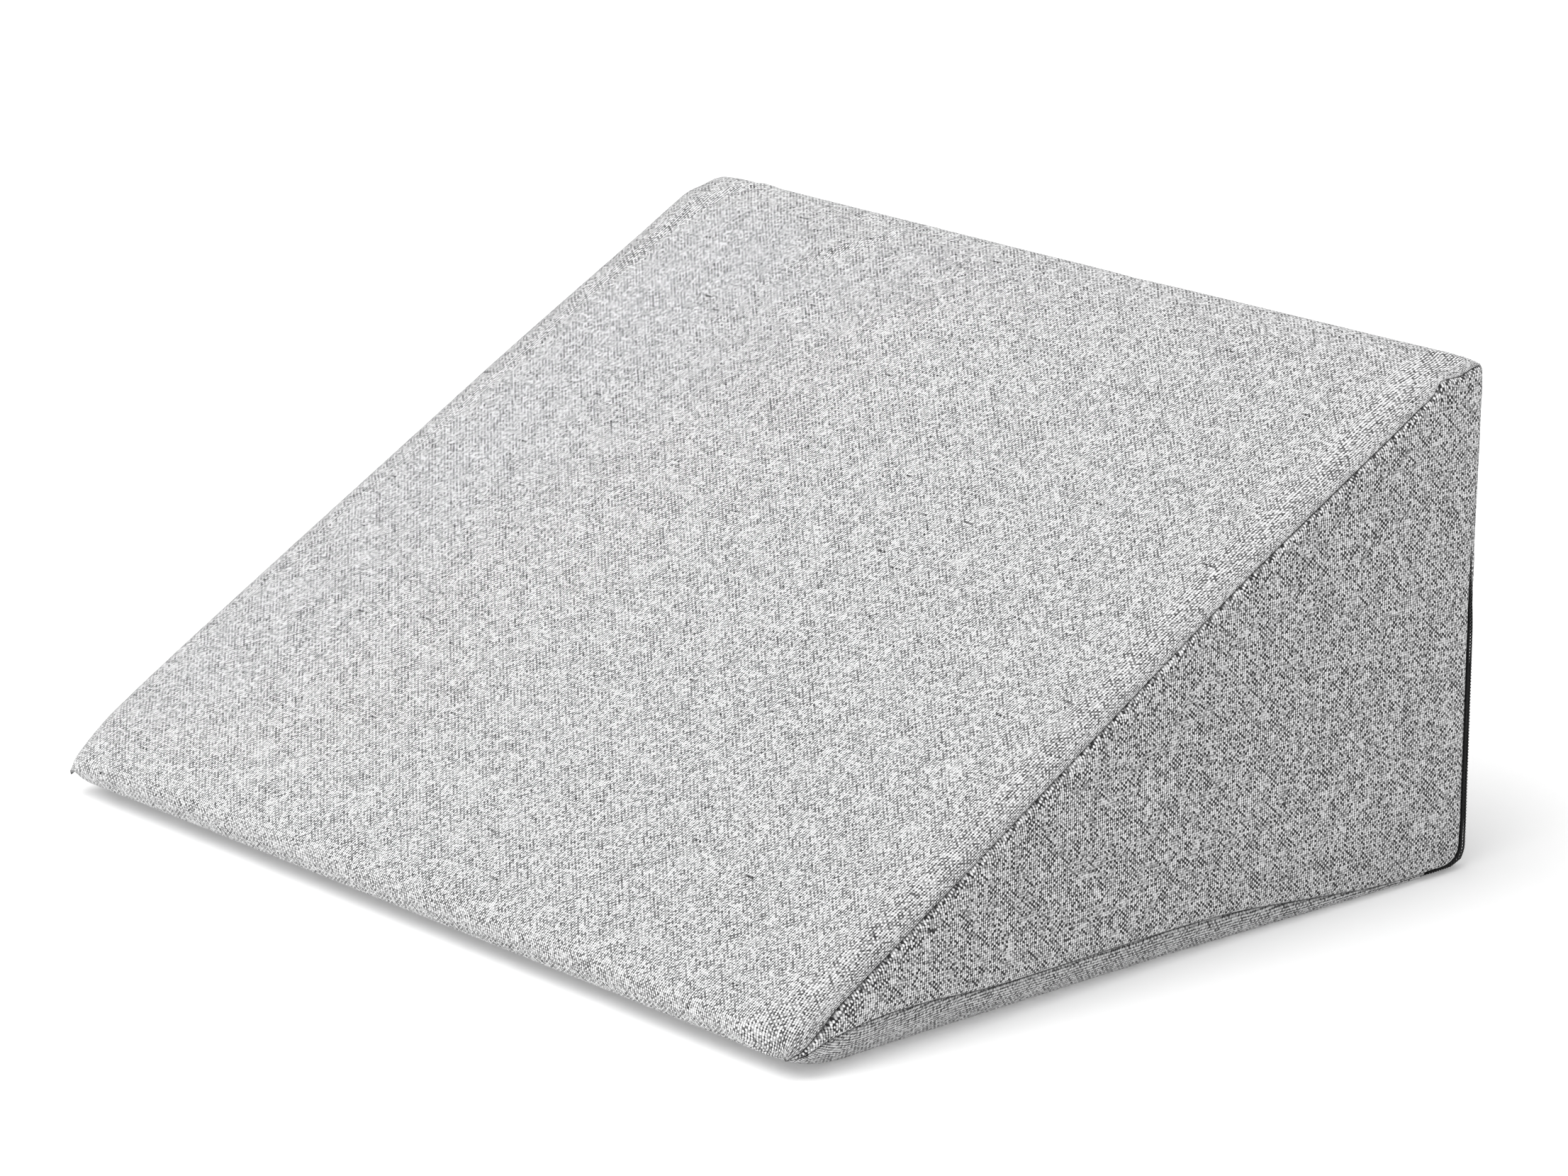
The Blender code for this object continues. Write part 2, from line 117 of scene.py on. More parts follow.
# The slope, from the ridge down to the tip of the front corner
SLOPE = (
    BACK[-1],
    Row(0.1954, 0.2286, 0.1966, 0.2316, 0.0240, crown=0.05),
    Row(0.1890, 0.2271, 0.1900, 0.2300, 0.0270, crown=0.10),
    Row(0.1785, 0.2250, 0.1800, 0.2270, 0.0270, crown=0.15),
    Row(0.1700, 0.2208, 0.1700, 0.2229, 0.0240, crown=0.20),
    Row(0.1500, 0.2098, 0.1490, 0.2130, 0.0200, crown=0.30),
    Row(0.1100, 0.1888, 0.1090, 0.1924, 0.0180, crown=0.35),
    Row(0.0600, 0.1622, 0.0585, 0.1668, 0.0180, crown=0.40),
    Row(0.0000, 0.1283, -0.0015, 0.1345, 0.0170, crown=0.30, bow=0.0006),
    Row(-0.0500, 0.0997, -0.0520, 0.1062, 0.0150, crown=0.20, bow=0.0014),
    Row(-0.1000, 0.0714, -0.1030, 0.0772, 0.0140, crown=0.15, bow=0.0020),
    Row(-0.1400, 0.0485, -0.1440, 0.0540, 0.0140, crown=0.10, bow=0.0022),
    Row(-0.1630, 0.0352, -0.1685, 0.0396, 0.0160, crown=0.05, bow=0.0022),
    Row(-0.1770, 0.0265, -0.1850, 0.0300, 0.0200, bow=0.0018),
    Row(-0.1860, 0.0188, -0.1960, 0.0234, 0.0250, bow=0.0012),
    Row(-0.1940, 0.0128, -0.2018, 0.0186, 0.0290, bow=0.0006),
    UNDERSIDE[0],
)


def smooth_step(value: Array, low: float, high: float) -> Array:
    """Ease from 0 to 1 between two values, as 3t squared minus 2t cubed.

    Args:
        value: The values to ease.
        low: Where the result leaves 0.
        high: Where the result reaches 1.

    Returns:
        The eased values.
    """
    part = np.clip((value - low) / (high - low), 0.0, 1.0)
    return part * part * (3.0 - 2.0 * part)


def unit(vectors: Array) -> Array:
    """Scale vectors, kept in the last axis, to length one."""
    return vectors / np.maximum(np.linalg.norm(vectors, axis=-1, keepdims=True), 1e-12)


def path_length(points: Array) -> Array:
    """Return how far along a path each of its points lies."""
    return np.concatenate([[0.0], np.cumsum(np.linalg.norm(np.diff(points, axis=0), axis=1))])


def grid_quads(index: Array) -> Array:
    """Return the four corners of each cell of a grid of point numbers."""
    low, high = index[:-1], index[1:]
    return np.stack([low[:, :-1], high[:, :-1], high[:, 1:], low[:, 1:]], axis=-1).reshape(-1, 4)


def grid_corners(values: Array) -> Array:
    """Return a grid's values at the four corners of each cell, in the order of grid_quads."""
    low, high = values[:-1], values[1:]
    cells = np.stack([low[:, :-1], high[:, :-1], high[:, 1:], low[:, 1:]], axis=2)
    return cells.reshape(-1, 4, values.shape[-1])


def sample_grid(values: Array, rows: Array, columns: Array, at_rows: Array, at_columns: Array) -> Array:
    """Read a grid of values between its lines, with a straight blend in both directions.

    Args:
        values: Grid of values, rows first.
        rows: Coordinate of each row, rising.
        columns: Coordinate of each column, rising.
        at_rows: Row coordinates to read at.
        at_columns: Column coordinates to read at.

    Returns:
        The values at those places.
    """
    row = np.interp(at_rows, rows, np.arange(len(rows)))
    column = np.interp(at_columns, columns, np.arange(len(columns)))
    low_row = np.minimum(row.astype(int), len(rows) - 2)
    low_column = np.minimum(column.astype(int), len(columns) - 2)
    down = (row - low_row)[..., None]
    over = (column - low_column)[..., None]
    near = values[low_row, low_column] * (1 - over) + values[low_row, low_column + 1] * over
    far = values[low_row + 1, low_column] * (1 - over) + values[low_row + 1, low_column + 1] * over
    return near * (1 - down) + far * down


def divide(stops: Sequence[tuple[float, int]]) -> Array:
    """Return places from (end, steps) stops, each stretch divided evenly."""
    places = [np.array([stops[0][0]])]
    for (start, _), (end, steps) in zip(stops[:-1], stops[1:]):
        places.append(np.linspace(start, end, steps + 1)[1:])
    return np.concatenate(places)


def make_piece(
    name: str,
    points: Array,
    faces: list,
    finish: bpy.types.Material,
    uv: Optional[Array] = None,
    smooth: bool = True,
) -> bpy.types.Object:
    """Put points and faces into a mesh object that stands at the origin.

    Args:
        name: Name of the piece.
        points: Points in metres, in the row's frame.
        faces: Point numbers of each face, anticlockwise seen from outside.
        finish: Material of the piece.
        uv: Cloth coordinates in metres of each face corner, in the order of the faces.
        smooth: Whether the faces are shaded as one soft surface.

    Returns:
        The new object.
    """
    mesh = bpy.data.meshes.new(name)
    mesh.from_pydata(points.tolist(), [], faces)
    if uv is not None:
        layer = mesh.uv_layers.new(name="cloth")
        layer.data.foreach_set("uv", np.ascontiguousarray(uv, dtype=np.float32).ravel())
    mesh.polygons.foreach_set("use_smooth", np.full(len(mesh.polygons), smooth))
    mesh.materials.append(finish)
    mesh.update()
    made = bpy.data.objects.new(name, mesh)
    bpy.context.collection.objects.link(made)
    return made


def add_point_value(piece: bpy.types.Object, name: str, values: Array) -> None:
    """Store one number for each point of a piece, for its material to read."""
    layer = piece.data.attributes.new(name, "FLOAT", "POINT")
    layer.data.foreach_set("value", np.ascontiguousarray(values, dtype=np.float32).ravel())


class Value:
    """A result of one of a material's nodes, with the usual arithmetic."""

    def __init__(self, board: "NodeBoard", socket: Socket) -> None:
        """Hold a node's output."""
        self.board, self.socket = board, socket

    def __add__(self, other: "Feed") -> "Value":
        """Add."""
        return self.board.math("ADD", self, other)

    def __sub__(self, other: "Feed") -> "Value":
        """Subtract."""
        return self.board.math("SUBTRACT", self, other)

    def __rsub__(self, other: float) -> "Value":
        """Subtract from a fixed number."""
        return self.board.math("SUBTRACT", other, self)

    def __mul__(self, other: "Feed") -> "Value":
        """Multiply."""
        return self.board.math("MULTIPLY", self, other)

    def __truediv__(self, other: float) -> "Value":
        """Divide by a fixed number."""
        return self.board.math("DIVIDE", self, other)


Feed = Union[Value, float, Sequence[float]]


class NodeBoard:
    """A material's nodes, with one short method for each kind that is used here."""

    def __init__(self, name: str) -> None:
        """Make a material of this name with a Principled shader."""
        self.material = bpy.data.materials.new(name)
        self.material.use_nodes = True
        self.tree = self.material.node_tree

    def feed(self, socket: Socket, value: Feed) -> None:
        """Link a socket to a value, or give it a fixed one."""
        if isinstance(value, Value):
            self.tree.links.new(value.socket, socket)
        else:
            socket.default_value = value

    def add(self, kind: str, result: str | int, inputs: dict[str | int, Feed], **settings: str | bool) -> Value:
        """Add a node.

        Args:
            kind: Its type.
            result: Name or number of the output that is wanted.
            inputs: What to feed, by the input's name or number.
            settings: The node's own properties.

        Returns:
            The output.
        """
        node = self.tree.nodes.new(kind)
        for name, setting in settings.items():
            setattr(node, name, setting)
        for key, value in inputs.items():
            self.feed(node.inputs[key], value)
        return Value(self, node.outputs[result])

    def math(self, operation: str, *values: Feed, clamp: bool = False) -> Value:
        """Reckon with one Math node."""
        return self.add("ShaderNodeMath", 0, dict(enumerate(values)), operation=operation, use_clamp=clamp)

    def mix(self, factor: Feed, first: Feed, second: Feed) -> Value:
        """Blend two numbers."""
        return self.add("ShaderNodeMix", 0, {0: factor, 2: first, 3: second}, data_type="FLOAT")

    def tint(self, factor: Value, first: Colour, second: Colour) -> Value:
        """Blend two colours."""
        return self.add("ShaderNodeMix", 2, {0: factor, 6: (*first, 1.0), 7: (*second, 1.0)}, data_type="RGBA")

    def ease(self, value: Value, low: float, high: float) -> Value:
        """Ease a number from 0 at low to 1 at high."""
        return self.add("ShaderNodeMapRange", "Result", {"Value": value, "From Min": low, "From Max": high},
                        interpolation_type="SMOOTHSTEP")

    def noise(self, place: Value, scale: float, detail: float = 2.0, dimensions: str = "2D") -> Value:
        """Add a Noise texture and return its value, which lies round 0.5."""
        return self.add("ShaderNodeTexNoise", "Fac", {"Vector": place, "Scale": scale, "Detail": detail},
                        noise_dimensions=dimensions)

    def jitter(self, place: Value) -> Value:
        """Return a number from 0 to 1 that is different for every place."""
        return self.add("ShaderNodeTexWhiteNoise", "Value", {"Vector": place}, noise_dimensions="2D")

    def vector(self, first: Feed, second: Feed) -> Value:
        """Combine two numbers."""
        return self.add("ShaderNodeCombineXYZ", 0, {0: first, 1: second})

    def split(self, vector: Value) -> list[Value]:
        """Take a vector apart."""
        first = self.add("ShaderNodeSeparateXYZ", 0, {0: vector})
        return [Value(self, output) for output in first.socket.node.outputs]

    def cloth_place(self) -> Value:
        """Return the piece's own cloth coordinates, in metres."""
        return self.add("ShaderNodeUVMap", 0, {}, uv_map="cloth")

    def object_place(self) -> Value:
        """Return the place in the row's frame, in metres."""
        return self.add("ShaderNodeTexCoord", "Object", {})

    def point_value(self, name: str) -> Value:
        """Return a number stored on the piece's points."""
        return self.add("ShaderNodeAttribute", "Fac", {}, attribute_name=name)

    def bump(self, height: Value, distance: float, strength: float = 1.0) -> Value:
        """Turn a height from 0 to 1 into a normal, 1 standing for distance metres."""
        return self.add("ShaderNodeBump", 0, {"Strength": strength, "Distance": distance, "Height": height})

    def finish(self, sockets: dict[str, Feed]) -> bpy.types.Material:
        """Feed these sockets of the shader and return the material."""
        for name, value in sockets.items():
            self.feed(self.tree.nodes["Principled BSDF"].inputs[name], value)
        return self.material


@dataclass(frozen=True)
class MelangeCloth:
    """Plain-woven cloth of light and dark grey yarns, with slubs and fuzzy patches.

    Lengths are in metres. The other numbers are shares of the way from dark to light.
    """

    warp_pitch: float = 0.00118
    weft_pitch: float = 0.00107
    wander: float = 0.6
    wander_scale: float = 60.0
    black: Colour = (0.020, 0.020, 0.021)
    white: Colour = (0.950, 0.950, 0.955)
    brightness: float = 0.80
    jump: float = 0.86
    checker: float = 0.50
    streak: float = 0.25
    patch: float = 0.06
    slub: float = 0.5
    hazy_jumps: float = 0.78
    side_jumps: float = 1.45
    side_shade: float = 0.03
    column_line: float = 0.66
    row_line: float = 0.38
    hole_width: float = 0.44
    hole_length: float = 0.64
    relief: float = 0.00022
    relief_strength: float = 0.8
    fuzz: float = 0.35
    seam_shade: float = 0.84
    seam_rest: float = 0.45
    roll_shade: float = 0.17

    def yarns(self, board: NodeBoard) -> dict[str, Value]:
        """Count the cloth coordinates in yarns.

        The yarns wander a little, so their count gets a slow noise. In every second cell
        the yarn along the length lies on top, in the others the yarn across. The counts
        start high enough to stay above 0.

        Args:
            board: The material's nodes.

        Returns:
            The coordinates, the counts, the cell's whole numbers, the place in the cell
            from -0.5 to 0.5, which yarn is on top, and 1 on the side panels.
        """
        start = 4000.0
        place = board.cloth_place()
        u, v, _ = board.split(place)
        shifted = board.vector(u + 3.0, v)
        across = u * (1.0 / self.warp_pitch) + (board.noise(place, self.wander_scale, 1.0) * self.wander + start)
        along = v * (1.0 / self.weft_pitch) + (board.noise(shifted, self.wander_scale, 1.0) * self.wander + start)
        column, row = board.math("FLOOR", across), board.math("FLOOR", along)
        return {
            "place": place, "shifted": shifted, "across": across, "along": along,
            "column": column, "row": row,
            "in_column": board.math("FRACT", across) - 0.5,
            "in_row": board.math("FRACT", along) - 0.5,
            "over": board.math("MODULO", column + row, 2.0),
            "side": board.math("GREATER_THAN", v, SIDE_FROM),
        }

    def tone(self, board: NodeBoard, yarn: dict[str, Value], haze: Value) -> Value:
        """Give each yarn its tone between dark and light.

        The tone jumps from cell to cell and between the two sets of yarns, and drifts
        along each yarn. Where loose fibres lie thick, the jumps are smaller, and on the
        side panels they are larger. The side panels are also painted a little darker, as
        painted shade on the upright sides. A few yarns have a dark slub. The counts are
        stretched before a noise is read, so that it drifts along a yarn and is new on the
        next one.

        Args:
            board: The material's nodes.
            yarn: The counted yarns.
            haze: How thick the loose fibres lie, from 0 to 1.

        Returns:
            The tone, from 0 to 1.
        """
        column, row, over = yarn["column"], yarn["row"], yarn["over"]
        lengthwise = board.noise(board.vector(column * 7.31, yarn["along"] * 0.30), 1.0, 0.0)
        crosswise = board.noise(board.vector(yarn["across"] * 0.30, row * 5.17 + 90.5), 1.0, 0.0)
        streak = board.mix(over, crosswise, lengthwise)
        cell = board.jitter(board.vector(column, row))
        patches = board.noise(yarn["place"], 130.0)
        slub = board.noise(board.vector(yarn["across"] * 0.09, row * 3.71), 1.0, 0.0)
        tone = (cell - 0.5) * self.jump + (over - 0.5) * self.checker + (streak - 0.5) * self.streak
        tone = tone * board.mix(haze, 1.0, self.hazy_jumps) * board.mix(yarn["side"], 1.0, self.side_jumps)
        # Painted shade: the side panels are made a little darker
        tone = tone - yarn["side"] * self.side_shade + (patches - 0.5) * self.patch
        tone = tone - board.ease(slub, 0.84, 0.92) * self.slub
        return board.math("ADD", tone, self.brightness, clamp=True)

    def gaps(self, board: NodeBoard, yarn: dict[str, Value]) -> Value:
        """Paint shade into the gaps between the yarns, where shadow falls between them.

        The lines between the yarns are faint. Where two lines cross, an oval hole of its
        own strength shows, longer along the cloth than across.

        Args:
            board: The material's nodes.
            yarn: The counted yarns.

        Returns:
            The light that is left, from 0 in a hole to 1 on a yarn.
        """
        # Painted shade along the gaps between the yarns and in the holes where they cross
        beside_column, beside_row = (
            board.ease(board.math("ABSOLUTE", yarn[name]), 0.20, 0.50) for name in ("in_column", "in_row"))
        lines = board.math("MAXIMUM", beside_column * self.column_line, beside_row * self.row_line)
        column, row = board.math("ROUND", yarn["across"]), board.math("ROUND", yarn["along"])
        over, down = (yarn["across"] - column) / self.hole_width, (yarn["along"] - row) / self.hole_length
        strength = board.ease(board.jitter(board.vector(column + 0.37, row)), 0.28, 0.72) * 0.88 + 0.12
        hole = board.ease(over * over + down * down, 1.0, 0.08) * strength
        return (1.0 - lines) * (1.0 - hole)

    def seams(self, board: NodeBoard, side: Value) -> Value:
        """Paint shade on the cloth in a thin line along the seams and over the roll beside them.

        The line is partly the seam's own dark thread and partly painted shade in its groove, and is
        darkest near the ridge and near the floor. The roll's painted shade, where the cloth turns
        down to the seam, is on the wrap only.

        Args:
            board: The material's nodes.
            side: 1 on the side panels and 0 on the wrap.

        Returns:
            The light that is left, from 0 to 1.
        """
        distance = board.point_value("seam_distance")
        _, _, height = board.split(board.object_place())
        ends = board.math("MAXIMUM", board.ease(height, 0.125, 0.185), board.ease(height, 0.050, 0.015))
        # Painted shade in the seam's groove, together with the seam's own dark thread
        line = board.ease(distance, 0.0008, 0.0001) * board.mix(ends, self.seam_rest, 1.0) * self.seam_shade
        # Painted shade over the wrap's roll, where the cloth turns down towards the seam
        roll = board.ease(distance, 0.026, 0.001) * (1.0 - side) * self.roll_shade
        return (1.0 - line) * (1.0 - roll)

    def make(self) -> bpy.types.Material:
        """Build the weave from the cloth coordinates.

        Loose fibres soften the weave in hazy patches, more to the left than to the right.

        Returns:
            The material.
        """
        board = NodeBoard("grey_melange_cloth")
        yarn = self.yarns(board)
        u, _, _ = board.split(yarn["place"])
        haze = board.ease(board.noise(yarn["shifted"], 75.0) - u * 0.45, 0.46, 0.68)
        light = self.gaps(board, yarn)
        softened = board.mix(haze, light, board.mix(0.20, light, 0.72))
        # The colour carries painted shade in the gaps between the yarns, along the seams and over the side panels
        shade = self.tone(board, yarn, haze) * softened * self.seams(board, yarn["side"])
        height = board.noise(yarn["place"], 4500.0) * self.fuzz + light
        return board.finish({
            "Base Color": board.tint(shade, self.black, self.white),
            "Roughness": 0.92,
            "Specular IOR Level": 0.2,
            "Sheen Weight": 0.12,
            "Sheen Roughness": 0.6,
            "Normal": board.bump(height, self.relief, self.relief_strength),
        })


@dataclass(frozen=True)
class TapeCloth:
    """The zip's black tape, woven in fine ribs across its width."""

    rib: float = 0.00055
    colour: Colour = (0.005, 0.005, 0.0055)
    paler: Colour = (0.016, 0.016, 0.017)
    relief: float = 0.00012

    def make(self) -> bpy.types.Material:
        """Build the ribs as a rounded wave along the tape, with a finer one across.

        Returns:
            The material.
        """
        board = NodeBoard("black_tape")
        u, v, _ = board.split(board.cloth_place())
        ribs = board.math("PINGPONG", u / self.rib, 0.5)
        cords = board.math("PINGPONG", v / (self.rib * 1.5), 0.5)
        height = cords * 0.7 + ribs
        # The ribs' tops are paler than the grooves between them, in patches
        shade = board.noise(board.vector(u * 0.2, v), 900.0) * height
        return board.finish({
            "Base Color": board.tint(shade, self.colour, self.paler),
            "Roughness": 0.78,
            "Specular IOR Level": 0.12,
            "Sheen Weight": 0.02,
            "Normal": board.bump(height, self.relief),
        })


@dataclass(frozen=True)
class CoilNylon:
    """The satin nylon of the zip's teeth."""

    colour: Colour = (0.006, 0.006, 0.0065)
    paler: Colour = (0.022, 0.022, 0.023)
    relief: float = 0.00003

    def make(self) -> bpy.types.Material:
        """Build a dark plastic whose gloss is broken by fine scuffs.

        Returns:
            The material.
        """
        board = NodeBoard("black_coil")
        scuffs = board.noise(board.object_place(), 2600.0, 3.0, "3D")
        return board.finish({
            "Base Color": board.tint(scuffs, self.colour, self.paler),
            "Roughness": board.mix(scuffs, 0.42, 0.60),
            "Specular IOR Level": 0.22,
            "Normal": board.bump(scuffs, self.relief),
        })


@dataclass(frozen=True)
class LacqueredMetal:
    """The slider's black lacquer, rubbed to bare metal on its edges."""

    lacquer: Colour = (0.016, 0.016, 0.018)
    bare: Colour = (0.34, 0.34, 0.35)
    relief: float = 0.00002

    def make(self) -> bpy.types.Material:
        """Build the lacquer, with wear where the surface is most curved and a noise agrees.

        Returns:
            The material.
        """
        board = NodeBoard("dark_slider")
        edge = board.add("ShaderNodeNewGeometry", "Pointiness", {})
        patches = board.noise(board.object_place(), 700.0, 4.0, "3D")
        wear = board.ease(edge, 0.52, 0.60) * board.ease(patches, 0.48, 0.62)
        grain = board.noise(board.object_place(), 5200.0, 3.0, "3D")
        return board.finish({
            "Base Color": board.tint(wear, self.lacquer, self.bare),
            "Metallic": board.mix(wear, 0.25, 0.95),
            "Roughness": board.mix(grain, 0.24, 0.42),
            "Normal": board.bump(grain, self.relief),
        })


@dataclass(frozen=True)
class PaleFloor:
    """The studio's plain white floor."""

    colour: Colour = (0.80, 0.80, 0.80)
    mottle: Colour = (0.81, 0.81, 0.81)
    glow: float = 0.20

    def make(self) -> bpy.types.Material:
        """Build a matt white with hardly any mottling.

        Returns:
            The material.
        """
        board = NodeBoard("pale_floor")
        mottle = board.noise(board.object_place(), 3.0, dimensions="3D")
        return board.finish({
            "Base Color": board.tint(mottle, self.colour, self.mottle),
            "Roughness": 0.95,
            "Specular IOR Level": 0.1,
            "Emission Color": (1.0, 1.0, 1.0, 1.0),
            "Emission Strength": self.glow,
        })


@dataclass
class Outline:
    """The closed outline of the cushion and the cloth that is wrapped around it."""

    seam_x: float = 0.2495
    crown_fade: float = 2.0
    samples: int = 24
    normal_step: float = 0.0004
    table: Array = field(init=False)
    along: Array = field(init=False)
    length: float = field(init=False)
    back_start: float = field(init=False)
    ridge: float = field(init=False)

    def __post_init__(self) -> None:
        """Draw the three runs of rows and measure along their middle."""
        runs = [self.curve_through(rows) for rows in (UNDERSIDE, BACK, SLOPE)]
        table = np.vstack(runs + [runs[0][:1]])
        table[:, 3] = np.maximum(table[:, 3], 0.0)
        self.along = path_length(table[:, 2:4])
        self.table = table
        self.length = float(self.along[-1])
        self.back_start = float(self.along[len(runs[0])])
        self.ridge = float(self.along[len(runs[0]) + len(runs[1])])

    def curve_through(self, rows: Sequence[Row]) -> Array:
        """Return dense rows on a smooth curve through the given rows.

        Each stretch is a cubic whose slope at a row is the mean of the slopes to its two
        neighbours, weighted by distance. The end rows take the slope of their own stretch.

        Args:
            rows: The rows to pass through.

        Returns:
            One line for each dense row, without the last given one.
        """
        table = np.array(rows)
        steps = np.hypot(np.diff(table[:, 2]), np.diff(table[:, 3]))
        rise = np.diff(table, axis=0) / steps[:, None]
        slopes = np.empty_like(table)
        slopes[0], slopes[-1] = rise[0], rise[-1]
        before, after = steps[:-1, None], steps[1:, None]
        slopes[1:-1] = (rise[:-1] * after + rise[1:] * before) / (before + after)
        part = np.linspace(0.0, 1.0, self.samples, endpoint=False)[None, :, None]
        span = steps[:, None, None]
        curve = (
            table[:-1, None, :] * (1.0 + 2.0 * part) * (1.0 - part) ** 2
            + slopes[:-1, None, :] * span * part * (1.0 - part) ** 2
            + table[1:, None, :] * part**2 * (3.0 - 2.0 * part)
            + slopes[1:, None, :] * span * part**2 * (part - 1.0)
        )
        return curve.reshape(-1, table.shape[1])

    def row(self, along: Array) -> Row:
        """Return the outline's row at these distances along the outline."""
        return Row(*(np.interp(along, self.along, column) for column in self.table.T))

    def roll_length(self, along: Array) -> Array:
        """Return the length of the quarter ellipse that the cloth follows beside the seam."""
        place = self.row(along)
        width = place.roll
        height = np.hypot(place.middle_depth - place.seam_depth, place.middle_height - place.seam_height)
        spread = np.sqrt((3.0 * width + height) * (width + 3.0 * height))
        return np.pi / 4.0 * (3.0 * (width + height) - spread)

    def half_width(self, along: Array) -> Array:
        """Return the length of cloth from the seam to the middle of the width."""
        place = self.row(along)
        return self.roll_length(along) + self.seam_x + place.bow - place.roll

    def surface(self, along: Array, inward: Array, side: float) -> Array:
        """Return points of the cloth.

        Beside the seam the cloth follows a quarter of an ellipse, whose half axes are the
        roll and the distance from the seam to the middle's line. Past it the width runs
        straight, apart from the crown, which rises with the square of the place in width.

        Args:
            along: Distance along the outline.
            inward: Distance walked on the cloth from the side seam.
            side: 1 on the right and -1 on the left.

        Returns:
            Points, in the last axis.
        """
        place = self.row(along)
        turned = self.roll_length(along)
        angle = np.minimum(inward / turned, 1.0) * np.pi / 2.0
        past = np.maximum(inward - turned, 0.0)
        x = self.seam_x + place.bow - place.roll * (1.0 - np.cos(angle)) - past
        rise = np.sin(angle) * (1.0 - place.crown * np.abs(x / self.seam_x) ** self.crown_fade)
        y = place.seam_depth + (place.middle_depth - place.seam_depth) * rise
        z = place.seam_height + (place.middle_height - place.seam_height) * rise
        return np.stack(np.broadcast_arrays(side * x, y, z), axis=-1)

    def outward(self, along: Array, inward: Array, side: float) -> Array:
        """Return unit vectors that point out of the cloth, from steps in both directions."""
        step = self.normal_step
        inner = np.maximum(inward, 2.0 * step)
        over = self.surface(along + step, inner, side) - self.surface(along - step, inner, side)
        across = self.surface(along, inner + step, side) - self.surface(along, inner - step, side)
        return unit(np.cross(across, over) * np.sign(side))


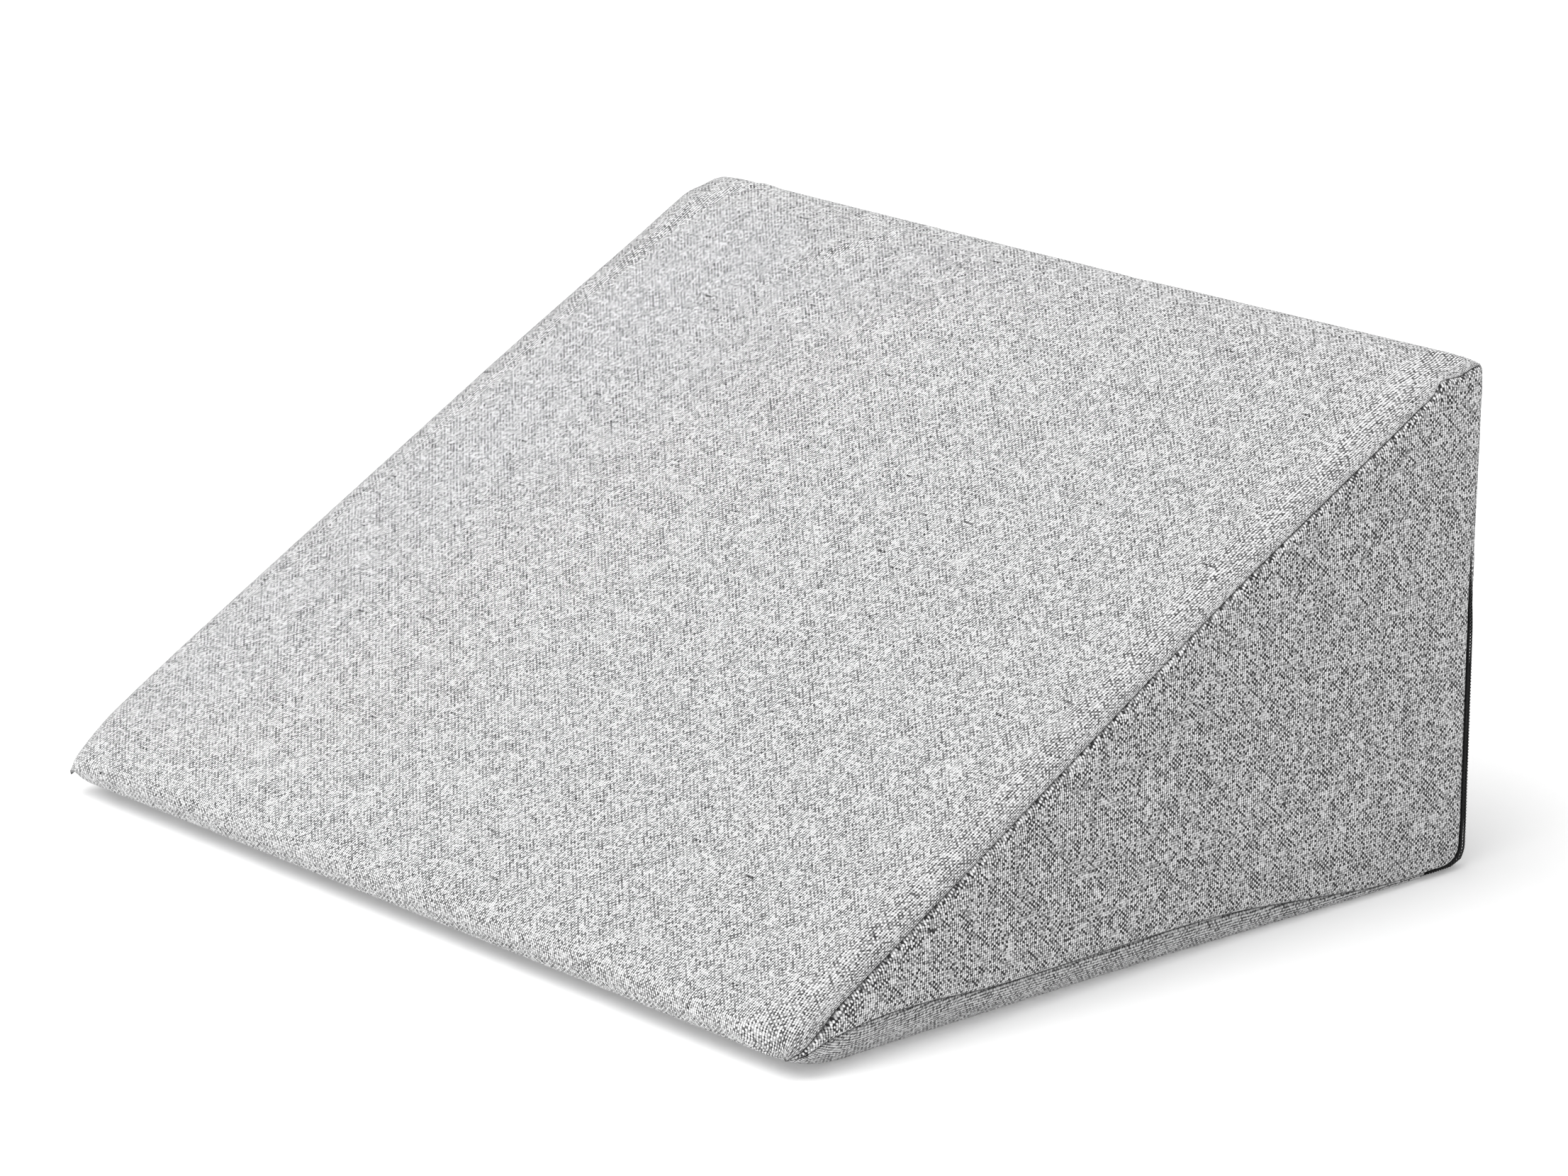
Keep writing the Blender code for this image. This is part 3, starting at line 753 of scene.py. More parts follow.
@dataclass
class ZipRoute:
    """The zip's way down one back corner, across the underside and up the other corner."""

    outline: Outline
    crossing_depth: float = 0.166
    corner_radius: float = 0.018
    edge_inset: float = 0.0005
    leg_top: float = 0.145
    full_width_height: float = 0.085
    end_share: float = 0.08
    tape_width: float = 0.0018
    coil_width: float = 0.0030
    piece_gap: float = 0.0003
    channel_depth: float = 0.0006
    end_sink: float = 0.0010
    sink_length: float = 0.040
    under_sink: float = 0.0009
    channel_margin: float = 0.0005
    channel_ramp: float = 0.0010
    seam_ramp: float = 0.0003
    under_blend: float = 0.006
    spacing: float = 0.0012
    crossing: float = field(init=False)
    top: float = field(init=False)
    full: float = field(init=False)

    def __post_init__(self) -> None:
        """Find the crossing and the legs' ends on the outline."""
        places = np.linspace(0.0, self.outline.ridge, 4000)
        rows = self.outline.row(places)
        under = places < self.outline.back_start
        self.crossing = float(np.interp(self.crossing_depth, rows.middle_depth[under], places[under]))
        heights, back = rows.middle_height[~under], places[~under]
        self.top = float(np.interp(self.leg_top, heights, back))
        self.full = float(np.interp(self.full_width_height, heights, back))

    def share(self, along: Array) -> Array:
        """Return the share of the zip's full width that shows at these places."""
        part = np.clip((self.top - along) / (self.top - self.full), 0.0, 1.0)
        return self.end_share + (1.0 - self.end_share) * part

    def width(self) -> float:
        """Return the full width of the zip between the two edges of cloth."""
        return 2.0 * self.tape_width + self.coil_width + 2.0 * self.piece_gap

    def inside(self, along: Array, inward: Array) -> Array:
        """Return how far inside the zip's outer edge these places lie.

        On the flat cloth the outer edge is a straight leg beside the seam and a straight
        crossing, joined by a quarter circle.

        Args:
            along: Distance along the outline.
            inward: Distance from the side seam.

        Returns:
            Distances in metres, below 0 outside the edge.
        """
        past = along - self.crossing
        beside = inward - self.edge_inset
        radius = self.corner_radius
        turned = radius - np.hypot(np.maximum(radius - past, 0.0), np.maximum(radius - beside, 0.0))
        return np.where((past < radius) | (beside < radius), turned, np.minimum(past, beside))

    def under_depth(self, along: Array) -> Array:
        """Return how much deeper the zip lies underneath, so that nothing passes the floor."""
        start, blend = self.outline.back_start, self.under_blend
        return self.under_sink * (1.0 - smooth_step(along, start - blend, start + blend))

    def channel(self, along: Array, inward: Array) -> Array:
        """Return how deep the zip's channel is at these places on the cloth."""
        inside = self.inside(along, inward)
        width = self.width() * self.share(along)
        outside = np.maximum(-inside, inside - width) - self.channel_margin
        ends = np.clip((self.top + self.channel_margin - along) / self.channel_ramp, 0.0, 1.0)
        share = smooth_step(1.0 - outside / self.channel_ramp, 0.0, 1.0) * ends
        depth = self.channel_depth + self.under_depth(along)
        return depth * share * np.clip(inward / self.seam_ramp, 0.0, 1.0)

    def walk(self, low: float, high: float, columns: int) -> tuple[Array, Array]:
        """Return places on the cloth along a strip of the zip, on one side of the pillow.

        The strip comes down the leg, turns through a quarter circle and runs to the middle.

        Args:
            low: Share of the zip's width at the strip's outer edge.
            high: Share of the zip's width at its inner edge.
            columns: Places across the strip.

        Returns:
            Distances along the outline and inward from the seam, by place and column.
        """
        radius, width, spacing = self.corner_radius, self.width(), self.spacing
        part = np.linspace(low, high, columns)[None, :] * width
        bend = self.crossing + radius
        leg = np.linspace(self.top, bend, int((self.top - bend) / spacing) + 2)[:-1, None]
        turn = np.linspace(0.0, np.pi / 2.0, int(radius * 1.4 / spacing) + 2)[:-1, None]
        reach = radius - part
        centre = bend - reach
        middle = self.outline.half_width(centre[:, :1])[0, 0]
        run = np.linspace(self.edge_inset + radius, middle, int(middle / spacing / 2.0) + 2)[:, None]
        along = np.vstack([leg + 0.0 * part, bend - reach * np.sin(turn), centre + 0.0 * run])
        inward = np.vstack([
            self.edge_inset + part * self.share(leg),
            self.edge_inset + radius - reach * np.cos(turn),
            run + 0.0 * part,
        ])
        return along, inward

    def strip(self, low: float, high: float, columns: int) -> tuple[Array, Array]:
        """Lay a strip of the zip from one leg's top to the other's.

        The strip sinks towards the legs' tops, where cloth comes to cover it.

        Args:
            low: Share of the zip's width at the strip's outer edge.
            high: Share of the zip's width at its inner edge.
            columns: Places across the strip.

        Returns:
            Its points and their outward directions.
        """
        along, inward = self.walk(low, high, columns)
        ends = self.end_sink * smooth_step(along, self.top - self.sink_length, self.top)
        sink = (ends + self.under_depth(along))[..., None]
        halves, normals = [], []
        for side in (1.0, -1.0):
            outward = self.outline.outward(along, inward, side)
            halves.append(self.outline.surface(along, inward, side) - outward * sink)
            normals.append(outward)
        points = np.concatenate([halves[0], halves[1][:-1][::-1]])
        return points, np.concatenate([normals[0], normals[1][:-1][::-1]])


@dataclass(frozen=True)
class Crease:
    """A soft ridge, or a dent where its height is below 0, between two places of a panel."""

    panel: Panel
    start: tuple[float, float]
    end: tuple[float, float]
    width: float
    height: float

    def relief(self, place: Array) -> Array:
        """Return the height this crease adds at cloth coordinates.

        It falls off with the square of the distance from the line between the two places,
        as a bell curve, and dies away over the last fifth at both ends.

        Args:
            place: Cloth coordinates in metres, in the last axis.

        Returns:
            Heights in metres.
        """
        start, end = np.array(self.start), np.array(self.end)
        run = end - start
        part = ((place - start) @ run) / (run @ run)
        nearest = start + np.clip(part, 0.0, 1.0)[..., None] * run
        distance = np.linalg.norm(place - nearest, axis=-1)
        ends = smooth_step(part, -0.15, 0.25) * smooth_step(1.0 - part, -0.15, 0.25)
        return self.height * np.exp(-((distance / self.width) ** 2)) * ends


# The creases that the photograph shows, by their cloth coordinates
CREASES = (
    Crease(Panel.WRAP, (-0.1420, 0.6980), (-0.0960, 0.6445), 0.0055, 0.00150),
    Crease(Panel.WRAP, (-0.2290, 0.6560), (-0.2100, 0.6390), 0.0040, 0.00110),
    Crease(Panel.WRAP, (-0.1570, 0.6620), (-0.1360, 0.6460), 0.0036, 0.00100),
    Crease(Panel.WRAP, (-0.2320, 1.0590), (-0.1650, 1.0870), 0.0060, 0.00130),
    Crease(Panel.WRAP, (-0.0600, 1.0660), (-0.0230, 1.0935), 0.0055, -0.00110),
    Crease(Panel.WRAP, (0.1800, 1.0500), (0.2150, 1.0900), 0.0060, -0.00050),
    Crease(Panel.RIGHT, (1.1540, 2.0960), (1.1940, 2.0700), 0.0032, 0.00060),
    Crease(Panel.RIGHT, (1.1600, 2.0680), (1.1945, 2.0430), 0.0030, 0.00055),
    Crease(Panel.RIGHT, (1.1640, 2.0430), (1.1940, 2.0230), 0.0028, 0.00050),
    Crease(Panel.RIGHT, (1.1590, 2.0820), (1.1940, 2.0570), 0.0030, -0.00045),
    Crease(Panel.RIGHT, (1.1480, 2.2000), (1.1740, 2.2240), 0.0035, 0.00050),
)


@dataclass
class ClothSheet:
    """One cut panel of the cover as a grid of points, with its coordinates both ways."""

    panel: Panel
    points: Array
    place: Array
    normal: Array
    seam: Array
    rows: Array
    across: Array


@dataclass(frozen=True)
class ClothFit:
    """The filling's push on the sewn cover, worked out with Blender's cloth simulation.

    The foam block holds the cover near its shape, so only a share of the simulated
    movement is let through.
    """

    inset: float = 0.0016
    pressure: float = 4.0
    slack: float = -0.002
    frames: int = 20
    limit: float = 0.0120
    share: float = 0.13

    def settle(self, points: Array, normals: Array, faces: list, held: Array) -> Array:
        """Blow the cover up from a slightly smaller shape and see how far it moves.

        Args:
            points: The sewn cover on its plain shape.
            normals: Outward directions of the points.
            faces: Point numbers of each face.
            held: Which points are held: the seams and what rests on the floor.

        Returns:
            Distance of each point from the plain shape, out being above 0.
        """
        start = points - normals * np.where(held, 0.0, self.inset)[:, None]
        piece = make_piece("cover_fitting", start, faces, bpy.data.materials.new("fitting"))
        pins = piece.vertex_groups.new(name="held")
        pins.add(np.flatnonzero(held).tolist(), 1.0, "REPLACE")
        cloth = piece.modifiers.new("fitting", "CLOTH")
        cloth.settings.quality = 6
        cloth.settings.shrink_min = self.slack
        cloth.settings.use_pressure = True
        cloth.settings.uniform_pressure_force = self.pressure
        cloth.settings.effector_weights.gravity = 0.0
        cloth.settings.vertex_group_mass = "held"
        cloth.point_cache.frame_end = self.frames
        scene = bpy.context.scene
        for step in range(1, self.frames + 1):
            scene.frame_set(step)
        shape = piece.evaluated_get(bpy.context.evaluated_depsgraph_get()).to_mesh()
        settled = np.empty(3 * len(shape.vertices))
        shape.vertices.foreach_get("co", settled)
        bpy.data.meshes.remove(piece.data)
        scene.frame_set(1)
        rise = np.einsum("ij,ij->i", settled.reshape(-1, 3) - start, normals)
        kept = self.share * np.clip(rise - self.inset, -self.limit, self.limit)
        LOG.info("cloth fit: points move by %.2f to %.2f mm", 1e3 * kept.min(), 1e3 * kept.max())
        return np.where(held, 0.0, kept)


@dataclass
class Cushion:
    """The foam-filled cushion in its cover: one closed piece of sewn cloth panels."""

    outline: Outline
    route: ZipRoute
    fit: ClothFit = ClothFit()
    panel_crown: float = 0.0025
    panel_roll: float = 0.010
    groove_depth: float = 0.0009
    groove_width: float = 0.0010
    weft_bow: float = 0.12
    tip_draw: float = 0.0036
    tip_reach: float = 0.0045
    kink: tuple[tuple[float, float], ...] = (
        (0.1600, 0.0), (0.1692, -0.0006), (0.1717, 0.0015), (0.1738, 0.0032), (0.1797, 0.0012),
        (0.1860, -0.0004), (0.1920, 0.0))
    kink_fade: float = 0.009
    kink_floor: float = 0.195
    tip_fade: float = 0.010
    crease_fade: float = 0.012
    zip_hold: tuple[float, float] = (0.001, 0.014)
    resting: float = 0.0006
    rear_power: int = 6
    rough_rows: tuple[int, int] = (60, 32)
    rough_columns: int = 34
    fine_columns: int = 48
    edge_steps: int = 14
    creases: tuple[Crease, ...] = CREASES
    seam_steps: tuple[float, ...] = (
        0.0, 0.0003, 0.0007, 0.0012, 0.0018, 0.0025, 0.0033, 0.0042, 0.0052, 0.0063, 0.0074, 0.0080,
        0.0086, 0.0092, 0.0100, 0.0112, 0.0126, 0.0142, 0.0160, 0.0180, 0.0205, 0.0235, 0.0270, 0.0310)

    def outline_places(self, fine: bool) -> tuple[Array, Array, Array]:
        """Return the distances along the outline at which the cloth is divided.

        Args:
            fine: Whether to divide for the finished piece rather than for the simulation.

        Returns:
            Places on the underside, the back and the slope. The first and the last have as
            many as each other, because the side panels run between them.
        """
        start, ridge, length = self.outline.back_start, self.outline.ridge, self.outline.length
        crossing, top = self.route.crossing, self.route.top
        if not fine:
            panel, back = self.rough_rows
            return np.linspace(0, start, panel), np.linspace(start, ridge, back), np.linspace(ridge, length, panel)
        edge = np.array(self.seam_steps[:self.edge_steps])
        under = divide([
            (0.0, 0), (0.012, 8), (0.040, 10), (crossing - 0.003, 82), (crossing + 0.001, 10),
            (crossing + 0.007, 8), (crossing + 0.010, 7), (crossing + 0.020, 11), (start - edge[-1], 4)])
        under = np.concatenate([under[:-1], (start - edge)[::-1]])
        back = divide([(start + edge[-1], 0), (top, 44), (top + 0.005, 8), (ridge - edge[-1], 18)])
        back = np.concatenate([start + edge[:-1], back[:-1], (ridge - edge)[::-1]])
        rest = len(under) - len(edge) - 30
        slope = divide([
            (ridge + edge[-1], 0), (ridge + 0.040, 12), (length - 0.040, rest), (length - 0.012, 10), (length, 8)])
        return under, back, np.concatenate([ridge + edge[:-1], slope])

    def columns(self, along: Array, fine: bool) -> Array:
        """Return the distances from the seam at which half the width is divided."""
        reach = self.outline.half_width(along)
        if not fine:
            return reach * np.linspace(0.0, 1.0, self.rough_columns)[None, :]
        near = np.broadcast_to(self.seam_steps, (len(along), len(self.seam_steps)))
        rest = np.linspace(0.0, 1.0, self.fine_columns)[None, 1:]
        return np.hstack([near, near[:, -1:] + rest * (reach - near[:, -1:])])

    def wrap(self, places: Array, fine: bool) -> ClothSheet:
        """Lay out the cloth that runs round the underside, the back and the slope.

        Args:
            places: Distances along the outline.
            fine: Whether for the finished piece.

        Returns:
            The sheet, its columns from the right seam to the left one.
        """
        along = places[:, None]
        inward = self.columns(along, fine)
        reach = self.outline.half_width(along)
        halves = []
        for side in (1.0, -1.0):
            points = self.outline.surface(along, inward, side)
            normals = self.outline.outward(along, inward, side)
            over = side * (reach - inward)
            bow = self.weft_bow * np.maximum(over, 0.0) ** 2
            place = np.stack(np.broadcast_arrays(over, along - bow), axis=-1)
            depth = self.route.channel(along, inward) if fine else 0.0 * inward
            halves.append((points, normals, place, inward, depth))
        joined = [np.concatenate([right, left[:, :-1][:, ::-1]], axis=1) for right, left in zip(*halves)]
        points, normals, place, seam, depth = joined
        points[:, inward.shape[1] - 1, 0] = 0.0
        points = points - normals * depth[..., None]
        return ClothSheet(Panel.WRAP, points, place, normals, seam, places, -place[..., 0] / reach)

    def side(self, panel: Panel, bottom: Array, rear: Array, top: Array, part: Array) -> ClothSheet:
        """Lay out a side panel between its three seams.

        The flat panel blends from the bottom seam to the top one and bends near its end to
        follow the back seam. It bulges outwards by a quarter circle beside each seam.

        Args:
            panel: Which of the two sides.
            bottom: Points of the bottom seam, from the front tip to the back.
            rear: Points of the back seam, from bottom to top.
            top: Points of the top seam, from the front tip to the back.
            part: Share of the depth at each of the bottom seam's points.

        Returns:
            The sheet, rows from the front tip to the back and columns from bottom to top.
        """
        steps = path_length(rear)
        up = (steps / steps[-1])[None, :, None]
        chord = rear[0] + (rear[-1] - rear[0]) * up
        flat = bottom[:, None] * (1.0 - up) + top[:, None] * up
        flat = flat + part[:, None, None] ** self.rear_power * (rear[None] - chord)
        gaps = [np.linalg.norm(flat - edge, axis=-1) for edge in (bottom[:, None], top[:, None], rear[None])]
        bulge = np.ones(flat.shape[:2])
        for gap in gaps:
            bulge = bulge * np.sqrt(1.0 - (1.0 - np.clip(gap / self.panel_roll, 0.0, 1.0)) ** 2)
        points = flat.copy()
        sign = 1.0 if panel is Panel.RIGHT else -1.0
        points[..., 0] += sign * self.panel_crown * bulge
        normal = np.zeros_like(points)
        normal[..., 0] = sign
        across = np.broadcast_to(up[..., 0], flat.shape[:2])
        return ClothSheet(panel, points, flat[..., 1:] + SIDE_PLACE, normal, np.minimum.reduce(gaps), part, across)

    def sheets(self, fine: bool) -> tuple[list[ClothSheet], tuple[int, int]]:
        """Lay out all three sheets on the cushion's plain shape.

        Args:
            fine: Whether for the finished piece.

        Returns:
            The sheets, and the rows of the wrap at which the back starts and ends.
        """
        under, back, slope = self.outline_places(fine)
        wrap = self.wrap(np.concatenate([under, back[1:], slope[1:-1]]), fine)
        loop = np.concatenate([wrap.points, wrap.points[:1]])
        lower, upper = len(under), len(under) + len(back) - 1
        made = [wrap]
        for panel, column in ((Panel.RIGHT, 0), (Panel.LEFT, -1)):
            line = loop[:, column]
            made.append(self.side(panel, line[:lower], line[lower - 1:upper], line[upper - 1:][::-1],
                                  under / self.outline.back_start))
        return made, (lower, upper)

    def number(self, made: list[ClothSheet], ends: tuple[int, int]) -> list[Array]:
        """Number the points of the sewn cover, sheet by sheet.

        Args:
            made: The wrap and the two side panels.
            ends: Rows of the wrap at which the back starts and ends.

        Returns:
            A grid of point numbers for each sheet. The wrap's first row is repeated as its
            last, and the sides' edges carry the wrap's numbers.
        """
        lower, upper = ends
        rows, columns = made[0].points.shape[:2]
        index = np.arange(rows * columns).reshape(rows, columns)
        around = np.vstack([index, index[:1]])
        grids, count = [around], rows * columns
        for sheet, column in ((made[1], 0), (made[2], columns - 1)):
            loop = around[:, column]
            grid = np.empty(sheet.points.shape[:2], dtype=int)
            inner = grid[1:-1, 1:-1]
            grid[:, 0], grid[:, -1] = loop[:lower], loop[upper - 1:][::-1]
            grid[-1, :] = loop[lower - 1:upper]
            grid[0, :] = loop[0]
            inner[...] = np.arange(inner.size).reshape(inner.shape) + count
            count += inner.size
            grids.append(grid)
        return grids

    def gather(self, values: Sequence[Array]) -> Array:
        """Join the sheets' grids of values in the order of the sewn cover's points."""
        inner = [grid[1:-1, 1:-1] for grid in values[1:]]
        return np.concatenate([grid.reshape(-1, *grid.shape[2:]) for grid in (values[0], *inner)])

    def sew(self, made: list[ClothSheet], grids: list[Array]) -> tuple[list, Array]:
        """Join the sheets into the faces of one closed mesh whose seams share their points.

        Args:
            made: The wrap and the two side panels.
            grids: Their point numbers.

        Returns:
            Point numbers of each face, and the cloth coordinates of the faces' corners.
        """
        first = made[0].place[:1] + np.array([0.0, self.outline.length])
        quads = [grid_quads(grids[0])[:, ::-1]]
        quad_uv = [grid_corners(np.vstack([made[0].place, first]))[:, ::-1]]
        tips, tip_uv = [], []
        for sheet, grid, order in zip(made[1:], grids[1:], (slice(None), slice(None, None, -1))):
            quads.append(grid_quads(grid[1:])[:, order])
            quad_uv.append(grid_corners(sheet.place[1:])[:, order])
            tips.append(grid_quads(grid[:2])[:, :3][:, order])
            tip_uv.append(grid_corners(sheet.place[:2])[:, :3][:, order])
        uv = np.concatenate([np.concatenate(quad_uv).reshape(-1, 2), np.concatenate(tip_uv).reshape(-1, 2)])
        return np.concatenate(quads).tolist() + np.concatenate(tips).tolist(), uv

    def swell(self, fine: list[ClothSheet]) -> list[Array]:
        """Simulate the filled cover on a coarse grid and read the result at the fine one.

        Beside the zip the result fades out, because the tapes keep the cloth flat there.

        Args:
            fine: The sheets of the finished piece.

        Returns:
            For each sheet, how far its points move out.
        """
        coarse, ends = self.sheets(fine=False)
        grids = self.number(coarse, ends)
        faces, _ = self.sew(coarse, grids)
        points = self.gather([sheet.points for sheet in coarse])
        seam = self.gather([sheet.seam for sheet in coarse])
        held = (seam < 1e-6) | (points[:, 2] < self.resting)
        moved = self.fit.settle(points, self.gather([sheet.normal for sheet in coarse]), faces, held)
        shifts = []
        for sheet, rough, grid in zip(fine, coarse, grids):
            rows = np.append(rough.rows, self.outline.length) if sheet.panel is Panel.WRAP else rough.rows
            at_rows = np.broadcast_to(sheet.rows[:, None], sheet.seam.shape)
            shift = sample_grid(moved[grid][..., None], rows, rough.across[1], at_rows, sheet.across)[..., 0]
            if sheet.panel is Panel.WRAP:
                inside = self.route.inside(at_rows, sheet.seam)
                clear = smooth_step(np.maximum(-inside, inside - self.route.width()), *self.zip_hold)
                shift = shift * np.where(at_rows < self.route.top, clear, 1.0)
            shifts.append(shift)
        return shifts

    def relief(self, sheet: ClothSheet) -> Array:
        """Return how far the points of a sheet move out.

        The seam lies in a groove with the profile of a bell curve, which fades out at the
        front corners. The creases fade out beside the seams.

        Args:
            sheet: One panel.

        Returns:
            Distances in metres.
        """
        tip = self.tip()[1]
        groove = self.groove_depth * np.exp(-((sheet.seam / self.groove_width) ** 2))
        height = -groove * smooth_step(sheet.points[..., 1], tip, tip + self.tip_fade)
        clear = smooth_step(sheet.seam, 0.0, self.crease_fade)
        for crease in self.creases:
            if crease.panel is sheet.panel:
                height = height + crease.relief(sheet.place) * clear
        return height

    def tip(self) -> Array:
        """Return the right front corner, where the seams meet."""
        first = self.outline.row(np.array([0.0]))
        return np.array([self.outline.seam_x, first.seam_depth[0], first.seam_height[0]])

    def blunt_tips(self, sheet: ClothSheet) -> Array:
        """Draw the two front corners in along the width, as a bell curve round each tip.

        Args:
            sheet: One panel.

        Returns:
            How its points move.
        """
        side = np.sign(sheet.points[..., :1])
        gap = np.linalg.norm(sheet.points * side ** [1, 0, 0] - self.tip(), axis=-1)
        near = np.exp(-((gap / self.tip_reach) ** 2))[..., None]
        return -side * near * self.tip_draw * [1.0, 0.0, 0.0]

    def lift_kink(self, sheet: ClothSheet) -> Array:
        """Raise the points at the kink of the right seam, short of the ridge.

        The listed heights are read by the points' depth. They fade out over the cloth
        beside the seam.

        Args:
            sheet: One panel.

        Returns:
            How its points move.
        """
        depth, height = np.array(self.kink).T
        lift = np.interp(sheet.points[..., 1], depth, height)
        near = 1.0 - smooth_step(sheet.seam, 0.0, self.kink_fade)
        here = (sheet.points[..., 0] > 0.0) & (sheet.points[..., 2] > self.kink_floor)
        return (lift * near * here)[..., None] * [0.0, 0.0, 1.0]

    def build(self, finish: bpy.types.Material) -> bpy.types.Object:
        """Make the finished cushion.

        Args:
            finish: The melange cloth.

        Returns:
            The piece.
        """
        made, ends = self.sheets(fine=True)
        for sheet, shift in zip(made, self.swell(made)):
            rise = self.relief(sheet) + shift
            moved = sheet.normal * rise[..., None] + self.blunt_tips(sheet) + self.lift_kink(sheet)
            sheet.points = sheet.points + moved
            sheet.points[..., 2] = np.maximum(sheet.points[..., 2], 0.0)
        faces, uv = self.sew(made, self.number(made, ends))
        points = self.gather([sheet.points for sheet in made])
        piece = make_piece("cushion_cover", points, faces, finish, uv)
        add_point_value(piece, "seam_distance", self.gather([sheet.seam for sheet in made]))
        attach(piece, "root")
        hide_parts("cushion")
        return piece


@dataclass
class ZipFastener:
    """The black zip: two tapes, the coil's teeth between them, the slider and its pull."""

    route: ZipRoute
    tooth_pitch: float = 0.00142
    tooth_half: float = 0.42
    tooth_lean: float = 0.18
    tooth_rings: int = 4
    tooth_corners: int = 6
    tape_columns: int = 9
    tape_thickness: float = 0.0008
    coil_height: float = 0.0011

    def strips(self) -> dict[str, tuple[float, float]]:
        """Return where each strip starts and ends, as shares of the zip's full width."""
        width = self.route.width()
        sizes = (self.route.tape_width, self.route.piece_gap, self.route.coil_width)
        tape, gap, coil = (size / width for size in sizes)
        return {
            "zip_tape_side": (0.0, tape),
            "zip_coil": (tape + gap, tape + gap + coil),
            "zip_tape_back": (tape + 2 * gap + coil, 1.0),
        }

    def tape(self, node: str, finish: bpy.types.Material) -> bpy.types.Object:
        """Make one tape as a rounded flat section carried along the route.

        Across its width the section is a superellipse: half the thickness times the fourth
        root of one minus the fourth power of the place across.

        Args:
            node: The CAD strip it stands for.
            finish: The tape's material.

        Returns:
            The piece.
        """
        points, normals = self.route.strip(*self.strips()[node], self.tape_columns)
        across = np.linspace(-1.0, 1.0, self.tape_columns)
        half = 0.5 * self.tape_thickness * (1.0 - across**4) ** 0.25
        base = self.route.piece_gap - self.route.channel_depth + 0.5 * self.tape_thickness
        upper = points + normals * (base + half)[None, :, None]
        lower = points[:, 1:-1] + normals[:, 1:-1] * (base - half)[None, 1:-1, None]
        ring = np.concatenate([upper, lower[:, ::-1]], axis=1)
        count, corners = ring.shape[:2]
        index = np.arange(count * corners).reshape(count, corners)
        closed = np.hstack([index, index[:, :1]])
        girth = np.linspace(0.0, 2.0 * self.route.tape_width, corners + 1)
        walked = path_length(points[:, self.tape_columns // 2])[:, None]
        place = np.stack(np.broadcast_arrays(walked, girth[None, :]), axis=-1)
        faces = grid_quads(closed)
        caps = [index[0].tolist(), index[-1][::-1].tolist()]
        uv = np.concatenate([grid_corners(place).reshape(-1, 2), place[0, :-1], place[-1, :-1][::-1]])
        piece = make_piece(f"{node}_woven", ring.reshape(-1, 3), faces.tolist() + caps, finish, uv)
        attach(piece, "root")
        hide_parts(node)
        return piece

    def teeth(self, finish: bpy.types.Material) -> bpy.types.Object:
        """Make the coil's teeth, one small rounded bar for each turn.

        A bar is an ellipsoid stretched across the coil. The bars lean the same way and
        stand a tooth pitch apart along the route.

        Args:
            finish: The nylon.

        Returns:
            The piece.
        """
        points, normals = self.route.strip(*self.strips()["zip_coil"], 3)
        line = points[:, 1]
        walked = path_length(line)
        at = np.arange(self.tooth_pitch, walked[-1] - self.tooth_pitch, self.tooth_pitch)

        def along(values: Array) -> Array:
            """Read values at the teeth's stations."""
            return np.stack([np.interp(at, walked, column) for column in values.T], axis=-1)

        centre, up = along(line), unit(along(normals[:, 1]))
        edge = along(points[:, 2] - points[:, 0])
        ahead = unit(np.cross(unit(edge), up))
        reach = 0.5 * np.linalg.norm(edge, axis=-1)[:, None]
        rings, corners = self.tooth_rings, self.tooth_corners
        turn = np.linspace(0.0, 2.0 * np.pi, corners, endpoint=False)
        tilt = np.linspace(0.0, np.pi, rings + 1)[1:-1]
        x = np.concatenate([[-1.0], np.repeat(-np.cos(tilt), corners), [1.0]])
        y = np.concatenate([[0.0], np.outer(np.sin(tilt), np.cos(turn)).ravel(), [0.0]])
        z = np.concatenate([[0.0], np.outer(np.sin(tilt), np.sin(turn)).ravel(), [0.0]])
        base = self.route.piece_gap - self.route.channel_depth + 0.5 * self.coil_height
        shape = (
            centre[:, None] + up[:, None] * base
            + unit(edge)[:, None] * (reach * x)[..., None]
            + ahead[:, None] * (self.tooth_pitch * (self.tooth_half * y + self.tooth_lean * x))[None, :, None]
            + up[:, None] * (0.5 * self.coil_height * z)[None, :, None]
        )
        last = 1 + (rings - 1) * corners
        ring = np.arange(1, last).reshape(rings - 1, corners)
        ring = np.hstack([ring, ring[:, :1]])
        sides = grid_quads(ring)[:, ::-1]
        caps = [[0, int(ring[0, k + 1]), int(ring[0, k])] for k in range(corners)]
        caps += [[last, int(ring[-1, k]), int(ring[-1, k + 1])] for k in range(corners)]
        size = shape.shape[1]
        shift = (np.arange(len(at)) * size)[:, None, None]
        quads = (sides[None] + shift).reshape(-1, 4).tolist()
        triangles = (np.array(caps)[None] + shift).reshape(-1, 3).tolist()
        piece = make_piece("zip_teeth", shape.reshape(-1, 3), quads + triangles, finish)
        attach(piece, "root")
        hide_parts("zip_coil")
        return piece

    def build(
        self, tape: bpy.types.Material, nylon: bpy.types.Material, metal: bpy.types.Material
    ) -> list[bpy.types.Object]:
        """Make the tapes and teeth, and dress the slider and its pull.

        Args:
            tape: The tapes' material.
            nylon: The teeth's material.
            metal: The slider's material.

        Returns:
            The new pieces.
        """
        made = [self.tape("zip_tape_side", tape), self.tape("zip_tape_back", tape), self.teeth(nylon)]
        for node in ("zip_slider", "zip_pull"):
            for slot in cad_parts[node].material_slots:
                slot.material = metal
        return made


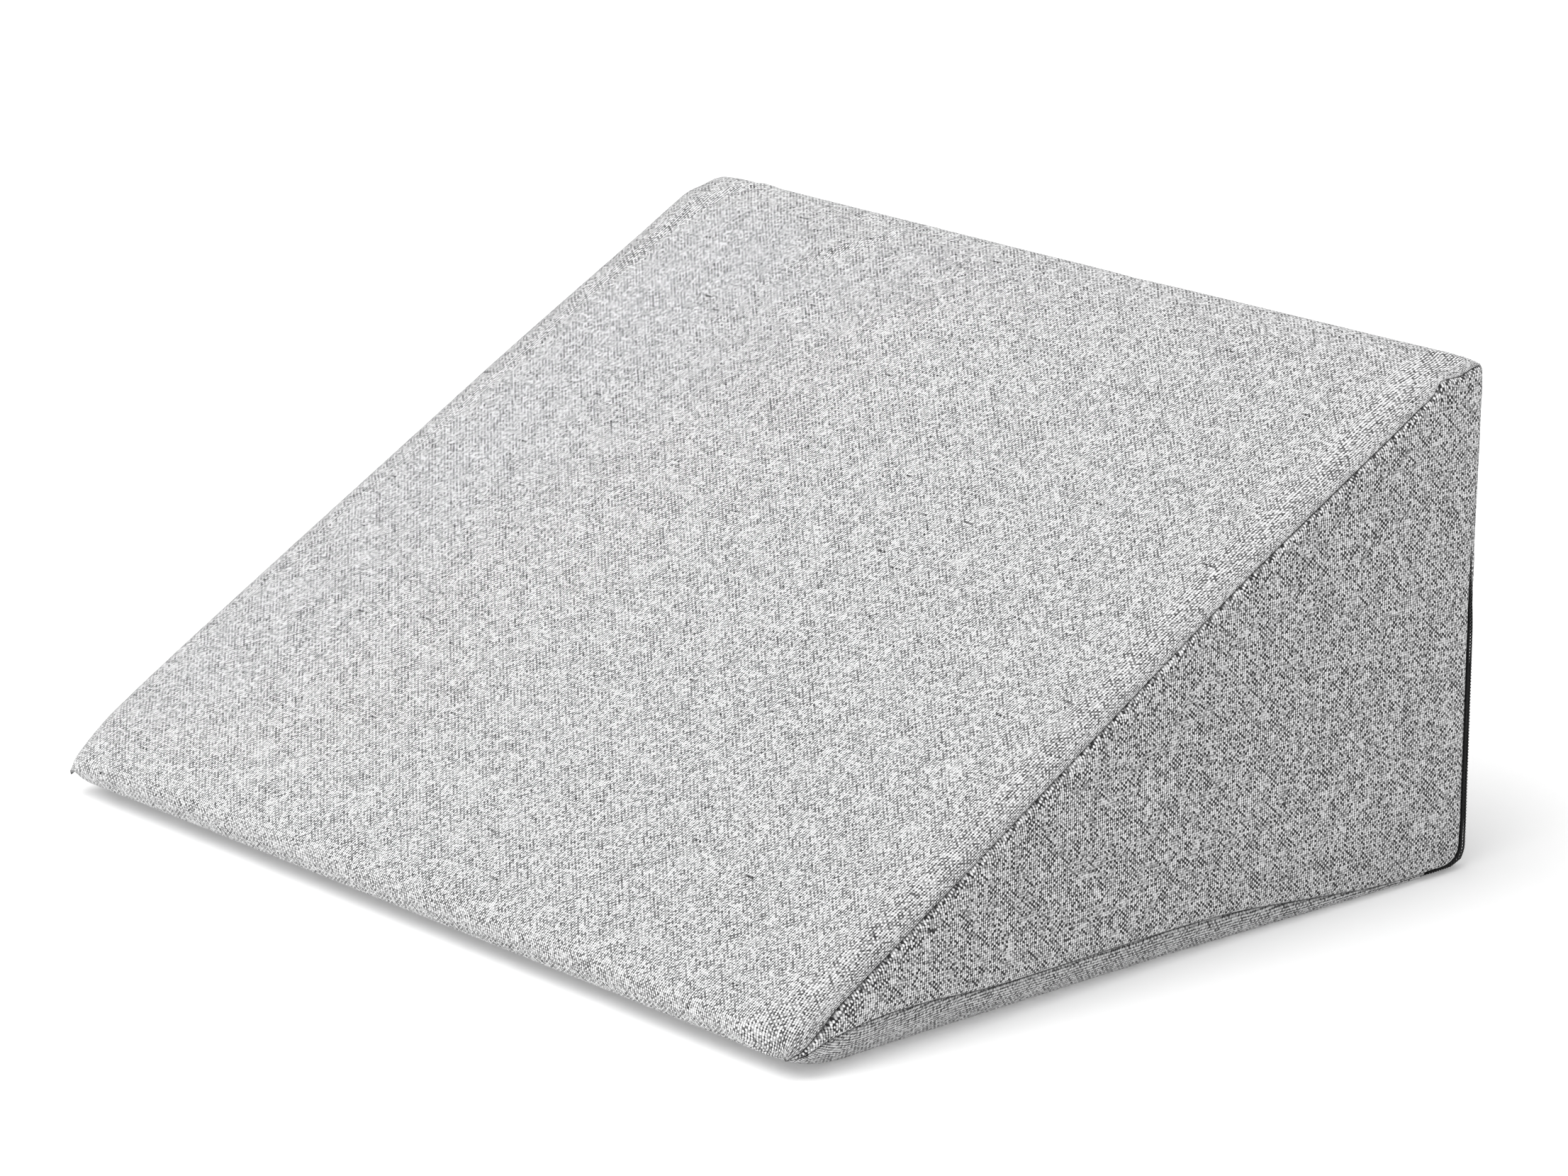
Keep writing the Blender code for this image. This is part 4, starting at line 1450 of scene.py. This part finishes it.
@dataclass(frozen=True)
class Studio:
    """The white floor, the soft light and the camera."""

    camera_place: tuple[float, float, float] = (1.91783033, -1.69468196, 0.86954041)
    azimuth: float = 48.22
    elevation: float = 16.47
    lens: float = 137.41
    sensor: float = 36.0
    floor_half: float = 9.0
    floor_height: float = -0.0002
    floor_lines: int = 13
    sky: float = 0.72
    key: float = 2.45
    key_from: tuple[float, float, float] = (-0.30, -0.90, 1.60)
    key_angle: float = 55.0

    def camera(self) -> bpy.types.Object:
        """Set the camera at the photograph's viewing angle."""
        data = bpy.data.cameras.new("camera")
        data.lens = self.lens
        data.sensor_width = self.sensor
        made = bpy.data.objects.new("camera", data)
        bpy.context.collection.objects.link(made)
        turn, rise = math.radians(self.azimuth), math.radians(self.elevation)
        back = Vector((math.sin(turn) * math.cos(rise), -math.cos(turn) * math.cos(rise), math.sin(rise)))
        right = Vector((math.cos(turn), math.sin(turn), 0.0))
        up = back.cross(right)
        axes = Matrix((right, up, back)).transposed().to_4x4()
        made.matrix_world = Matrix.Translation(self.camera_place) @ axes
        bpy.context.scene.camera = made
        return made

    def floor(self, finish: bpy.types.Material) -> bpy.types.Object:
        """Lay the floor just under the pillow, as a flat grid."""
        line = np.linspace(-self.floor_half, self.floor_half, self.floor_lines)
        x, y = np.meshgrid(line, line, indexing="ij")
        points = np.stack([x, y, np.full_like(x, self.floor_height)], axis=-1)
        index = np.arange(x.size).reshape(x.shape)
        made = make_piece("floor", points.reshape(-1, 3), grid_quads(index).tolist(), finish, smooth=False)
        return made

    def light(self) -> None:
        """Light the scene with an even white sky and one very soft key light."""
        world = bpy.data.worlds.new("white_sky")
        world.use_nodes = True
        sky = world.node_tree.nodes["Background"]
        sky.inputs["Color"].default_value = (1.0, 1.0, 1.0, 1.0)
        sky.inputs["Strength"].default_value = self.sky
        bpy.context.scene.world = world
        data = bpy.data.lights.new("key", "SUN")
        data.energy = self.key
        data.angle = math.radians(self.key_angle)
        made = bpy.data.objects.new("key", data)
        bpy.context.collection.objects.link(made)
        made.rotation_mode = "QUATERNION"
        made.rotation_quaternion = Vector(self.key_from).to_track_quat("Z", "Y")
        made.location = Vector(self.key_from) * 2.0

    def build(self, finish: bpy.types.Material) -> None:
        """Set up the whole studio."""
        self.floor(finish)
        self.light()
        self.camera()
        bpy.context.scene.view_settings.view_transform = "Standard"


def main() -> None:
    """Build the pillow's pieces and the studio, and report each piece."""
    logging.basicConfig(level=logging.INFO, format="%(message)s")
    outline = Outline()
    route = ZipRoute(outline)
    cushion = Cushion(outline, route).build(MelangeCloth().make())
    LOG.info("%s: %d faces", cushion.name, len(cushion.data.polygons))
    for piece in ZipFastener(route).build(TapeCloth().make(), CoilNylon().make(), LacqueredMetal().make()):
        LOG.info("%s: %d faces", piece.name, len(piece.data.polygons))
    Studio().build(PaleFloor().make())


if __name__ == "__main__":
    main()
